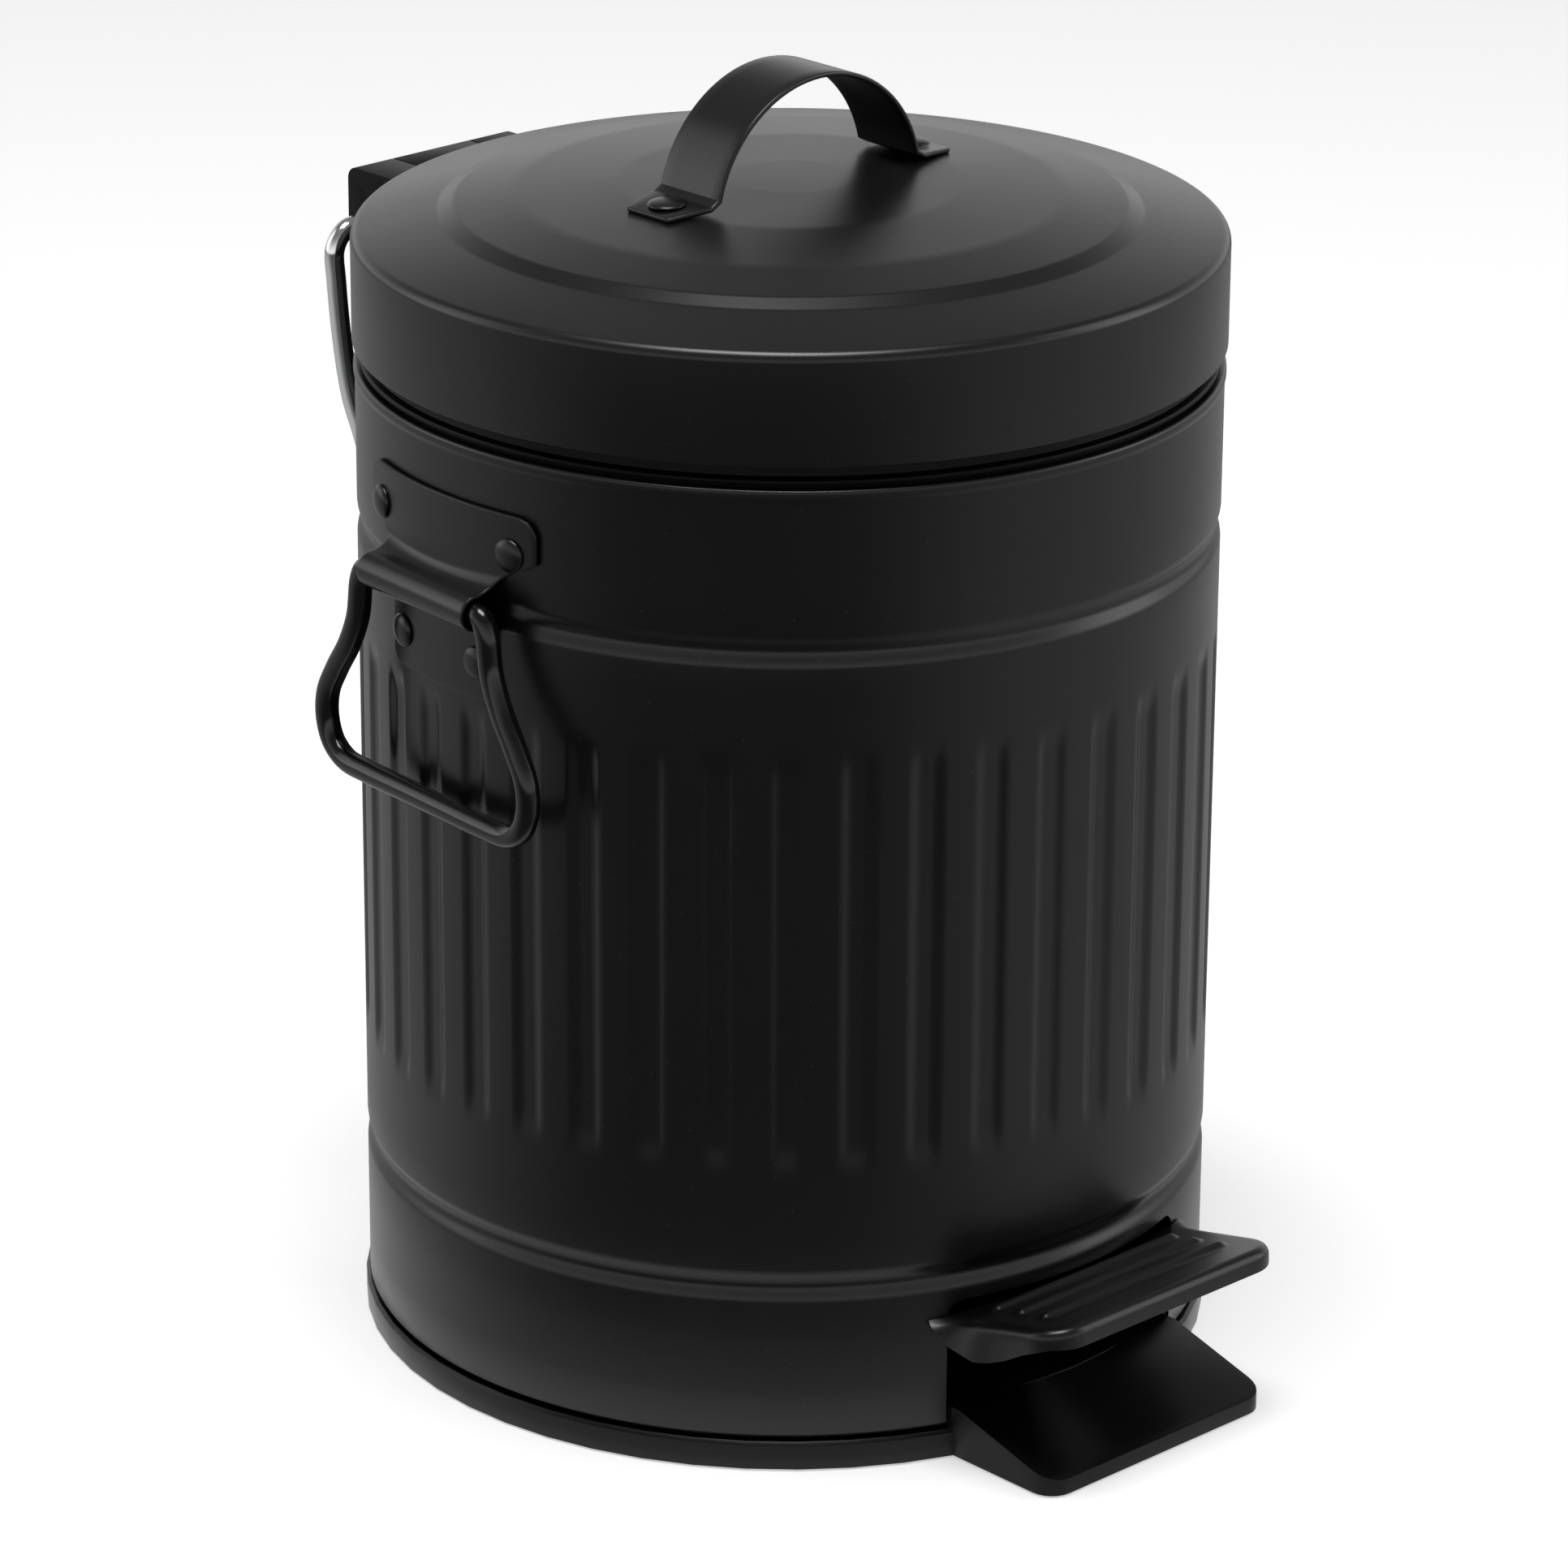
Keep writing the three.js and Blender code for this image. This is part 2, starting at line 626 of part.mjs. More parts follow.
function lidShell() {
  const edgeAt = (deg, radius) => [
    LID_R - LID_EDGE_RADIUS + radius * Math.cos(rad(deg)),
    LID_EDGE_Z + radius * Math.sin(rad(deg)),
  ];
  const crown = [
    [LID_STEP_R, LID_STEP_Z],
    [LID_STEP_R - 2.3, LID_STEP_Z + LID_STEP_RISE],
    [LID_CREASE_R, LID_CREASE_Z],
    [40, lidTop(40)],
  ];
  const outside = [
    [LID_R - LID_SHEET, LID_BOTTOM],
    [LID_R, LID_BOTTOM],
    edgeAt(0, LID_EDGE_RADIUS),
    edgeAt(50, LID_EDGE_RADIUS),
    ...crown,
    [0, LID_TOP_Z],
  ];
  const inside = [
    [0, LID_TOP_Z - LID_SHEET],
    ...crown.slice().reverse().map(([r, z]) => [r - 0.15, z - LID_SHEET]),
    edgeAt(0, LID_EDGE_RADIUS - LID_SHEET),
    [LID_R - LID_SHEET, LID_BOTTOM],
  ];
  let lid = solid(turned([...inside, ...outside.slice(1)], ROUND_SIDES));
  lid = cut(lid, solid(block(-ARM_HALF - 0.9, ARM_HALF + 0.9, 92, 110, 240, 258.6)));
  for (const side of [-1, 1]) {
    const hole = cylinderAlong('z', RIVET_HOLE_R, 270, 290, 8);
    hole.translate(side * STRAP_RIVET_X, 0, 0);
    lid = cut(lid, solid(hole), solid(flangeDrill(side)));
  }
  return lid;
}

// The screw line that holds the hinge arm's flange inside the skirt.
function flangeDrill(side) {
  const hole = cylinderAlong('y', 1.7, 90, 112, 8);
  hole.rotateZ(-side * rad(8));
  return hole.translate(0, 0, 263);
}

add('lid_shell', lidShell(), COAT);

// The strap is one bent strip: two flat feet and an elliptical arch.
function strapHandle() {
  const rise = STRAP_TOP_Z - STRAP_ARCH_BASE_Z;
  const footZ = (x) => lidTop(Math.abs(x)) + 0.35;
  const top = [];
  const under = [];
  for (let deg = 16; deg <= 164; deg += 7.4) {
    const c = Math.cos(rad(deg));
    const s = Math.sin(rad(deg));
    top.push([STRAP_ARCH_HALF * c, STRAP_ARCH_BASE_Z + rise * s]);
    under.push([(STRAP_ARCH_HALF - STRAP_T) * c, STRAP_ARCH_BASE_Z + (rise - STRAP_T) * s]);
  }
  const foot = (side, level) => [
    [side * STRAP_FOOT_END, footZ(STRAP_FOOT_END) + level],
    [side * (33 + level), footZ(34) + level],
    [side * (31.5 + level), footZ(33) + 0.8 + level],
  ];
  const topLine = [...foot(1, STRAP_T), ...top, ...foot(-1, STRAP_T).reverse()];
  const underLine = [...foot(1, 0), ...under, ...foot(-1, 0).reverse()];
  const strip = solid(frontProfile(outline([...topLine, ...underLine.reverse()]), STRAP_W / 2));
  let strap = strip;
  for (const side of [-1, 1]) {
    const hole = cylinderAlong('z', RIVET_HOLE_R, 270, 292, 8);
    hole.translate(side * STRAP_RIVET_X, 0, 0);
    strap = cut(strap, solid(hole));
    for (const end of [-1, 1]) {
      const x = side * STRAP_FOOT_END;
      const y = (end * STRAP_W) / 2;
      const nick = outline([
        [x + side, y - end * 3],
        [x + side, y + end],
        [x - side * 3, y + end],
      ]);
      strap = cut(strap, solid(plan(nick, 275, 292)));
    }
  }
  return strap;
}

add('lid_strap_handle', strapHandle(), COAT);

// A rivet with a domed head and a clenched tail, standing on z = 0 with its shank below.
function rivetProfile(headR, headH, shankR, grip) {
  return [
    [0, headH],
    [0.78 * headR, 0.66 * headH],
    [headR, 0],
    [shankR, 0],
    [shankR, -grip],
    [1.6 * shankR, -grip],
    [0, -grip - 1.2],
  ];
}

for (const [side, label] of [[-1, 'left'], [1, 'right']]) {
  const grip = STRAP_T + LID_SHEET + 1.4;
  const rivet = turned(rivetProfile(4.6, 1.3, RIVET_SHANK_R, grip), 12);
  const seat = lidTop(STRAP_RIVET_X - 4.6) + 0.35 + STRAP_T + 0.15;
  rivet.translate(side * STRAP_RIVET_X, 0, seat);
  add(`lid_rivet_${label}`, rivet, COAT);
}

// ---------- rear hinge ----------

function hingeBore() {
  const bore = cylinderAlong('x', HINGE_BORE_R, -HOUSING_HALF - 2, HOUSING_HALF + 2, 12);
  bore.translate(0, HINGE_Y, HINGE_Z);
  return bore;
}

function hingeHousing() {
  const side = new THREE.Shape();
  side.moveTo(96, HOUSING_BOTTOM);
  side.lineTo(HOUSING_REAR - 12, HOUSING_BOTTOM);
  side.lineTo(HOUSING_REAR, HOUSING_BOTTOM + 13);
  side.lineTo(HINGE_Y + KNUCKLE_R, HINGE_Z - 6);
  side.absarc(HINGE_Y + KNUCKLE_R - EAR_CORNER, EAR_TOP - EAR_CORNER, EAR_CORNER, 0, Math.PI / 2, false);
  side.absarc(EAR_FRONT_Y, EAR_TOP - EAR_FRONT_R, EAR_FRONT_R, Math.PI / 2, Math.PI, false);
  side.lineTo(EAR_FRONT_Y - EAR_FRONT_R, 248.5);
  side.lineTo(104.2, 244.5);
  side.lineTo(96, 244.5);
  let housing = solid(sideProfile(side, HOUSING_HALF, 7));
  const bodyGap = cylinderAlong('z', BODY_R + PLATE_GAP, 190, 239.5, 64);
  const lidGap = cylinderAlong('z', LID_R + 1, 239.5, 270, 64);
  housing = cut(housing, solid(bodyGap), solid(lidGap));
  const slot = new THREE.Shape();
  slot.moveTo(90, HINGE_Z - 2.4);
  slot.absarc(HINGE_Y, HINGE_Z, KNUCKLE_R + 0.6, rad(191.2), rad(360), false);
  slot.lineTo(HINGE_Y + 20, 275);
  slot.lineTo(90, 275);
  housing = cut(housing, solid(sideProfile(slot, EAR_SLOT_HALF, 8)), solid(hingeBore()));
  for (const z of HOUSING_SCREW_Z) {
    const pilot = cylinderAlong('y', RIVET_HOLE_R, 96, 114, 8);
    pilot.translate(0, 0, z);
    housing = cut(housing, solid(pilot));
  }
  return housing;
}

add('hinge_housing', hingeHousing(), PLASTIC);

function hingeArm() {
  const under = HINGE_Z - 1.5;
  const side = new THREE.Shape();
  side.moveTo(92, under);
  side.lineTo(HINGE_Y - KNUCKLE_R + 0.4, under);
  side.absarc(HINGE_Y, HINGE_Z, KNUCKLE_R - 0.4, rad(188), rad(450), false);
  side.lineTo(106, 262);
  side.lineTo(104.4, 257.6);
  side.lineTo(92, 257.6);
  let arm = solid(sideProfile(side, ARM_HALF, 8));
  // A curved flange lies against the inside of the skirt.
  const flangeRing = solid(revolve([
    [97.6, under],
    [LID_R - LID_SHEET - 0.6, under],
    [LID_R - LID_SHEET - 0.6, 268.2],
    [97.6, 268.2],
  ], 64));
  const sector = outline([
    [0, 0],
    [-34, 120],
    [34, 120],
  ]);
  arm = arm.add(flangeRing.intersect(solid(plan(sector, 240, 280))));
  arm = cut(arm, solid(hingeBore()));
  for (const end of [-1, 1]) arm = cut(arm, solid(flangeDrill(end)));
  return arm;
}

add('lid_hinge_arm', hingeArm(), PLASTIC);

const pin = cylinderAlong('x', HINGE_PIN_R, -HINGE_PIN_HALF, HINGE_PIN_HALF, 12);
pin.translate(0, HINGE_Y, HINGE_Z);
add('hinge_pin', pin, ZINC);

// The screws point along -Z as turned, head at z = 0.
function screwProfile(headR, headH, shankR, length) {
  return [
    [0, headH],
    [headR, 0.3 * headH],
    [headR, 0],
    [shankR, 0],
    [shankR, -length + 1.2],
    [0, -length],
  ];
}

for (const [side, label] of [[-1, 'left'], [1, 'right']]) {
  const screw = turned(screwProfile(3.2, 1.3, 1.4, 8), 8);
  screw.rotateX(-Math.PI / 2);
  screw.translate(0, LID_R + 0.25, 0);
  screw.rotateZ(-side * rad(8));
  screw.translate(0, 0, 263);
  add(`lid_screw_${label}`, screw, ZINC);
}

for (const [z, label] of [[HOUSING_SCREW_Z[0], 'lower'], [HOUSING_SCREW_Z[1], 'upper']]) {
  const screw = turned(screwProfile(3.4, 1.4, 1.8, 12), 8);
  screw.rotateX(Math.PI / 2);
  screw.translate(0, BODY_R - SHEET - 0.35, z);
  add(`housing_screw_${label}`, screw, ZINC);
}

// The rear carrying bail turns in the outer ends of the hinge bore and hangs straight down.
function rearBail() {
  const half = [
    [HINGE_PIN_HALF + 0.8, HINGE_Y, HINGE_Z],
    [HOUSING_HALF + 3.4, HINGE_Y, HINGE_Z],
    [HOUSING_HALF + 9.5, HINGE_Y, HINGE_Z - 0.6],
    [HOUSING_HALF + 13.2, HINGE_Y, HINGE_Z - 4.8],
    [37.2, HINGE_Y, 238],
    [33, HINGE_Y, 218],
    [28.8, HINGE_Y, 199],
    [24.6, HINGE_Y, 180],
    [22.4, HINGE_Y, 172.6],
    [17, HINGE_Y, 168.6],
    [8, HINGE_Y, 168],
  ];
  return wire(mirrored(half), REAR_WIRE, 8, 36, REARWARD);
}

add('rear_bail', rearBail(), CHROME);

// ---------- side handles ----------

// Lays a part made at the front (towards -Y) round to a side plate's angle.
function toSide(manifoldOrGeometry, side) {
  return manifoldOrGeometry.rotateZ(rad(side * SIDE_PLATE_DEG));
}

function clippedRect(half, z0, z1, clip) {
  return outline([
    [-half + clip, z0],
    [half - clip, z0],
    [half, z0 + clip],
    [half, z1 - clip],
    [half - clip, z1],
    [-half + clip, z1],
    [-half, z1 - clip],
    [-half, z0 + clip],
  ]);
}

// One sheet: a wide plate, a sleeve rolled round the wire and a narrow plate below.
function sidePlate(side) {
  const inR = BODY_R + PLATE_GAP;
  const sheetRing = solid(revolve([
    [inR, 176],
    [inR + PLATE_T, 176],
    [inR + PLATE_T, 232],
    [inR, 232],
  ], 64));
  const lap = SLEEVE_R - 0.9;
  const upper = clippedRect(UPPER_PLATE.half, SLEEVE_Z + lap, UPPER_PLATE.top, UPPER_PLATE.clip);
  const lower = clippedRect(LOWER_PLATE.half, LOWER_PLATE.bottom, SLEEVE_Z - lap, LOWER_PLATE.clip);
  let plate = null;
  for (const shape of [upper, lower]) {
    const prism = frontProfile(shape, 20);
    prism.translate(0, -BODY_R, 0);
    const sheet = sheetRing.intersect(solid(prism));
    plate = plate ? plate.add(sheet) : sheet;
  }
  const y = -SLEEVE_D;
  const inner = SLEEVE_R - PLATE_T;
  const roll = new THREE.Shape();
  roll.moveTo(-98, SLEEVE_Z + SLEEVE_R);
  roll.lineTo(y, SLEEVE_Z + SLEEVE_R);
  roll.absarc(y, SLEEVE_Z, SLEEVE_R, Math.PI / 2, 1.5 * Math.PI, false);
  roll.lineTo(-98, SLEEVE_Z - SLEEVE_R);
  roll.lineTo(-98, SLEEVE_Z - inner);
  roll.lineTo(y, SLEEVE_Z - inner);
  roll.absarc(y, SLEEVE_Z, inner, 1.5 * Math.PI, Math.PI / 2, true);
  roll.lineTo(-98, SLEEVE_Z + inner);
  const sleeve = solid(sideProfile(roll, SLEEVE_HALF, 8));
  const bodySpace = cylinderAlong('z', inR, 170, 240, 64);
  const trimmed = cut(sleeve, solid(bodySpace));
  plate = plate.add(trimmed);
  for (const rivet of [UPPER_RIVET, LOWER_RIVET]) {
    for (const step of [-1, 1]) {
      plate = cut(plate, solid(wallDrill(step * rivet.deg, rivet.z, RIVET_HOLE_R)));
    }
  }
  return toSide(toGeometry(plate), side);
}

function sideWire(side) {
  const half = [
    [0.4, -SLEEVE_D, SLEEVE_Z],
    [10, -SLEEVE_D, SLEEVE_Z],
    [19.8, -SLEEVE_D, SLEEVE_Z],
    [22.6, -SLEEVE_D, SLEEVE_Z - 1],
    [24.2, -SLEEVE_D, SLEEVE_Z - 3.8],
    [25.8, -SLEEVE_D, 191.5],
    [29.4, -SLEEVE_D, 183.6],
    [34.6, -SLEEVE_D, 176],
    [38.4, -SLEEVE_D, 169.2],
    [39, -SLEEVE_D, 163],
    [36.8, -SLEEVE_D, 157.4],
    [31.8, -SLEEVE_D, 154.2],
    [22, -SLEEVE_D, 153.6],
    [8, -SLEEVE_D, 153.6],
  ];
  // The ring is open at the middle of the sleeve, where the wire's two ends meet.
  return toSide(wire(mirrored(half), SIDE_WIRE, 8, 36, REARWARD), side);
}

for (const [side, label] of [[-1, 'left'], [1, 'right']]) {
  add(`side_plate_${label}`, sidePlate(side), COAT);
  add(`side_handle_${label}`, sideWire(side), GLOSS_COAT);
  for (const [rivet, level] of [[UPPER_RIVET, 'upper'], [LOWER_RIVET, 'lower']]) {
    for (const [step, end] of [[-1, 'a'], [1, 'b']]) {
      const grip = SHEET + PLATE_T + 1;
      const stud = turned(rivetProfile(RIVET_HEAD_R, 1.7, RIVET_SHANK_R, grip), 10);
      stud.rotateX(Math.PI / 2);
      stud.translate(0, -(BODY_R + PLATE_GAP + PLATE_T + 0.3), 0);
      stud.rotateZ(rad(side * SIDE_PLATE_DEG + step * rivet.deg));
      stud.translate(0, 0, rivet.z);
      add(`side_rivet_${label}_${level}_${end}`, stud, COAT);
    }
  }
}

// ---------- pedal ----------

const pedalTop = (y) => PEDAL_FRONT_Z - PEDAL_SLOPE * (y - PEDAL_FRONT);

// A block under or over a line of [y, z] points, wide enough to trim the whole tread.
function trim(line, z) {
  const ends = [[line[line.length - 1][0], z], [line[0][0], z]];
  return solid(sideProfile(outline([...line, ...ends]), PEDAL_FLARE_HALF + 6));
}

// The tread seen from above: round front corners, and sides that flare out to the body.
function treadPlan(inset) {
  const half = PEDAL_HALF - inset;
  const corner = PEDAL_CORNER - inset;
  const front = PEDAL_FRONT + inset;
  const shape = new THREE.Shape();
  shape.moveTo(-half + corner, front);
  shape.lineTo(half - corner, front);
  shape.absarc(half - corner, front + corner, corner, -Math.PI / 2, 0, false);
  const flare = [[half, -105], [half + 1.4, -101], [PEDAL_FLARE_HALF - inset, -97], [PEDAL_FLARE_HALF - inset, -80]];
  for (const [x, y] of flare) shape.lineTo(x, y);
  for (const [x, y] of flare.reverse()) shape.lineTo(-x, y);
  shape.absarc(-half + corner, front + corner, corner, Math.PI, 1.5 * Math.PI, false);
  return shape;
}

function treadTop(drop) {
  const line = [-140, -80].map((y) => [y, pedalTop(y) - drop]);
  return trim(line, 70);
}

// The tread is pressed from one sheet: a sloping top, a deep hem round three sides and three ribs.
function pedalPlate() {
  const t = PEDAL_SHEET;
  const outer = cut(solid(plan(treadPlan(0), 15, 55)), treadTop(0));
  const inner = cut(solid(plan(treadPlan(t), 10, 55)), treadTop(t));
  const bodySpace = cylinderAlong('z', BODY_R + 0.9, 0, 60, 64);
  let plate = cut(outer, inner, trim(PEDAL_HEM, 5), solid(bodySpace));
  for (const side of [-1, 1]) {
    const ear = outline([
      [side * (PEDAL_HALF + 0.2), 28.4],
      [side * 41, 31],
      [side * (PEDAL_FLARE_HALF + 0.5), 34.6],
      [side * 50, 34.6],
      [side * 50, 0],
      [side * (PEDAL_HALF + 0.2), 0],
    ]);
    const prism = frontProfile(ear, 20);
    prism.translate(0, -100, 0);
    plate = cut(plate, solid(prism));
  }
  const tongueOut = block(-PEDAL_TONGUE_HALF, PEDAL_TONGUE_HALF, -108, PEDAL_BACK, 30.5, 50);
  const tongueIn = block(-PEDAL_TONGUE_HALF + t, PEDAL_TONGUE_HALF - t, -110, PEDAL_BACK + 2, 20, 50);
  const tongue = cut(cut(solid(tongueOut), treadTop(0)), cut(solid(tongueIn), treadTop(t)));
  plate = plate.add(tongue);
  for (const y of PEDAL_RIB_Y) {
    const rib = new THREE.CylinderGeometry(1.15, 1.15, 2 * PEDAL_RIB_HALF, 8);
    rib.rotateZ(Math.PI / 2);
    rib.translate(0, y, pedalTop(y) - 0.1);
    plate = plate.add(solid(rib));
  }
  return plate;
}

// The lever is welded to the tread's underside and reaches through the axle to the lift rod.
function pedalLever() {
  const tipY = ROD_Y + 2;
  const tipZ = ROD_BOTTOM - 0.5;
  const gap = PEDAL_SHEET + 0.35;
  const centre = [
    [-122, pedalTop(-122) - gap],
    [-92, pedalTop(-92) - gap],
    [-78, pedalTop(-78) - gap - 1.4],
    [PIVOT_Y - 8, PIVOT_Z + 4.6],
    [PIVOT_Y + 10, PIVOT_Z + 2.6],
    [ROD_Y - 18, tipZ],
    [tipY, tipZ],
  ];
  const under = centre.map(([y, z]) => [y, z - LEVER_T]).reverse();
  const bar = solid(sideProfile(outline([...centre, ...under]), LEVER_HALF));
  const hub = cylinderAlong('x', 5.6, -LEVER_HALF, LEVER_HALF, 16);
  hub.translate(0, PIVOT_Y, PIVOT_Z);
  return cut(bar.add(solid(hub)), solid(axleBore()));
}

add('pedal_plate', pedalPlate(), COAT);
add('pedal_lever', pedalLever(), ZINC);

const axle = cylinderAlong('x', AXLE_R, -15.6, 15.6, 12);
axle.translate(0, PIVOT_Y, PIVOT_Z);
add('pedal_axle', axle, ZINC);

const rod = turned([
  [0, ROD_BOTTOM],
  [ROD_R - 0.6, ROD_BOTTOM],
  [ROD_R, ROD_BOTTOM + 0.8],
  [ROD_R, ROD_TOP - 0.8],
  [ROD_R - 0.6, ROD_TOP],
  [0, ROD_TOP],
], 10);
rod.translate(0, ROD_Y, 0);
add('lift_rod', rod, ZINC);

export default model;
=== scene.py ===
"""Dresses a pedal bin that looks like a small dustbin: its coated steel, moulded plastic and chrome.

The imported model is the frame. Sizes below are in millimetres unless a property says otherwise, and
every finished piece stands at the origin, with its place in its mesh, as the frame's nodes do.
"""

import math

import bmesh
import bpy
import numpy as np
from mathutils import Matrix, Vector


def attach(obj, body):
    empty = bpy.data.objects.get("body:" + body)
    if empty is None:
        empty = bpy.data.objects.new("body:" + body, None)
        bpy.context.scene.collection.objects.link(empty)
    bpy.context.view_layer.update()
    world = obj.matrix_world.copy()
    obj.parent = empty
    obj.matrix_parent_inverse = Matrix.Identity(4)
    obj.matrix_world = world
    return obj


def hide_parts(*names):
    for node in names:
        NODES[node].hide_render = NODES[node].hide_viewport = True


bl_info = {
    "name": "Pedal Bin Dresser",
    "version": (1, 0, 0),
    "blender": (4, 5, 0),
    "location": "3D View > Sidebar > Pedal Bin",
    "description": "Builds the looks of a retro pedal bin around its packed frame",
    "category": "Add Mesh",
}

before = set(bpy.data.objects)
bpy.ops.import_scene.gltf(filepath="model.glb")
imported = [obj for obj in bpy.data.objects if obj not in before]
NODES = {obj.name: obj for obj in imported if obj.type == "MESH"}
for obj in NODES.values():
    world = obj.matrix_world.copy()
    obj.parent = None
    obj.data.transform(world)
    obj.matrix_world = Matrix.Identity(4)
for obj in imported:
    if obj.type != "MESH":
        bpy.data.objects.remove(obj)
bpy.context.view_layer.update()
MM = 0.001

# Sizes of the part, as in its source.
BODY_R = 102.0
LID_R = 102.6
HINGE = (119.8, 252.0)
SIDE_DEG = 94.5
PLATE_R = BODY_R + 0.35 + 1.0
SLEEVE_D, SLEEVE_Z, SLEEVE_R, SLEEVE_HALF = 106.8, 204.5, 4.3, 20.2


# ---------------- properties


class BinSizes(bpy.types.PropertyGroup):
    """Sizes that a user may change without touching the frame."""

    flutes: bpy.props.IntProperty(
        name="Flutes", description="Number of pressed flutes round the body", default=40, min=4, max=80
    )
    flute_depth: bpy.props.FloatProperty(
        name="Flute depth", description="How far a flute is pressed in", default=0.0009, unit="LENGTH"
    )
    flute_mouth: bpy.props.FloatProperty(
        name="Flute mouth", description="Width of a flute at the body's surface",
        default=0.0078, unit="LENGTH"
    )
    flute_floor: bpy.props.FloatProperty(
        name="Flute floor", description="Width of the flat at the bottom of a flute",
        default=0.0044, unit="LENGTH"
    )
    flute_phase: bpy.props.FloatProperty(
        name="Flute phase", description="Angle of the first flute from the front",
        default=math.radians(1.65),
        subtype="ANGLE",
    )
    side_wire: bpy.props.FloatProperty(
        name="Side handle wire", description="Diameter of the side handles' wire",
        default=0.0056, unit="LENGTH"
    )
    rear_wire: bpy.props.FloatProperty(
        name="Rear bail wire", description="Diameter of the carrying bail's wire",
        default=0.0048, unit="LENGTH"
    )
    bucket_wire: bpy.props.FloatProperty(
        name="Bucket bail wire", description="Diameter of the bucket bail's wire",
        default=0.0032, unit="LENGTH"
    )
    rivet_head: bpy.props.FloatProperty(
        name="Rivet head", description="Diameter of a rivet's domed head", default=0.008, unit="LENGTH"
    )


class BinColours(bpy.types.PropertyGroup):
    """Base colours of the finishes."""

    coat: bpy.props.FloatVectorProperty(
        name="Powder coat", description="Black powder coat on the body, lid and pedal",
        default=(0.003, 0.003, 0.0031), subtype="COLOR", min=0, max=1,
    )
    wire: bpy.props.FloatVectorProperty(
        name="Handle wire", description="Glossy black coat on the side handles",
        default=(0.0025, 0.0025, 0.0026), subtype="COLOR", min=0, max=1,
    )
    plastic: bpy.props.FloatVectorProperty(
        name="Plastic", description="Moulded black plastic of the base, collar and hinge",
        default=(0.0025, 0.0025, 0.0025), subtype="COLOR", min=0, max=1,
    )
    bucket: bpy.props.FloatVectorProperty(
        name="Bucket", description="Dark plastic of the lift-out bucket",
        default=(0.012, 0.012, 0.013), subtype="COLOR", min=0, max=1,
    )
    zinc: bpy.props.FloatVectorProperty(
        name="Zinc", description="Zinc plate on the screws, rod and lever",
        default=(0.5, 0.51, 0.52), subtype="COLOR", min=0, max=1,
    )
    chrome: bpy.props.FloatVectorProperty(
        name="Chrome", description="Polished plate on the rear bail",
        default=(0.8, 0.81, 0.82), subtype="COLOR", min=0, max=1,
    )
    rubber: bpy.props.FloatVectorProperty(
        name="Rubber", description="Floor pads",
        default=(0.01, 0.01, 0.01), subtype="COLOR", min=0, max=1
    )
    paper: bpy.props.FloatVectorProperty(
        name="Floor", description="Pale studio floor",
        default=(0.86, 0.86, 0.86), subtype="COLOR", min=0, max=1
    )


# ---------------- mesh helpers


def mesh_object(name, points, faces, edges=()):
    """A mesh object at the origin from points in millimetres."""
    mesh = bpy.data.meshes.new(name)
    mesh.from_pydata([Vector(p) * MM for p in points], list(edges), faces)
    mesh.validate()
    obj = bpy.data.objects.new(name, mesh)
    bpy.context.scene.collection.objects.link(obj)
    return obj


def soften(obj, degrees=32):
    """Smooth shading, kept sharp where faces meet at more than the angle."""
    mesh = obj.data
    mesh.shade_smooth()
    mesh.set_sharp_from_angle(angle=math.radians(degrees))
    return obj


def fillet(corners, steps=5):
    """Rounds an open line of (u, v, radius) corners into a list of (u, v) points."""
    out = []
    for i, corner in enumerate(corners):
        p = Vector(corner[:2])
        radius = corner[2] if len(corner) > 2 else 0
        if radius <= 0 or i in (0, len(corners) - 1):
            out.append(tuple(p))
            continue
        a = (Vector(corners[i - 1][:2]) - p).normalized()
        b = (Vector(corners[i + 1][:2]) - p).normalized()
        half = a.angle(b) / 2
        reach = radius / math.tan(half)
        start, end = p + a * reach, p + b * reach
        centre = p + (a + b).normalized() * (radius / math.sin(half))
        t0 = math.atan2(*(start - centre).yx)
        t1 = math.atan2(*(end - centre).yx)
        turn = (t1 - t0 + math.pi) % (2 * math.pi) - math.pi
        for k in range(steps + 1):
            t = t0 + turn * k / steps
            out.append((centre.x + radius * math.cos(t), centre.y + radius * math.sin(t)))
    return out


def revolve(name, profile, columns, closed=False):
    """Turns a profile of (radius, z) points about the Z axis. Points on the axis become one vertex."""
    points, rings = [], []
    for r, z in profile:
        if r < 1e-6:
            rings.append([len(points)])
            points.append((0, 0, z))
            continue
        rings.append(list(range(len(points), len(points) + columns)))
        for i in range(columns):
            t = 2 * math.pi * i / columns
            points.append((r * math.sin(t), -r * math.cos(t), z))
    faces = []
    pairs = list(zip(rings, rings[1:]))
    if closed:
        pairs.append((rings[-1], rings[0]))
    for low, high in pairs:
        for i in range(columns):
            j = (i + 1) % columns
            if len(low) == 1:
                faces.append((low[0], high[j], high[i]))
            elif len(high) == 1:
                faces.append((low[i], low[j], high[0]))
            else:
                faces.append((low[i], low[j], high[j], high[i]))
    return mesh_object(name, points, faces)


def face_out(obj):
    """Welds doubles and turns every face outwards."""
    bm = bmesh.new()
    bm.from_mesh(obj.data)
    bmesh.ops.remove_doubles(bm, verts=bm.verts, dist=1e-6)
    bmesh.ops.recalc_face_normals(bm, faces=bm.faces)
    bm.to_mesh(obj.data)
    bm.free()
    return obj


def baked(obj):
    """Turns the object's modifiers into its plain mesh."""
    graph = bpy.context.evaluated_depsgraph_get()
    graph.update()
    made = obj.evaluated_get(graph)
    mesh = bpy.data.meshes.new_from_object(made, preserve_all_data_layers=True, depsgraph=graph)
    old = obj.data
    obj.modifiers.clear()
    obj.data = mesh
    bpy.data.meshes.remove(old)
    return obj


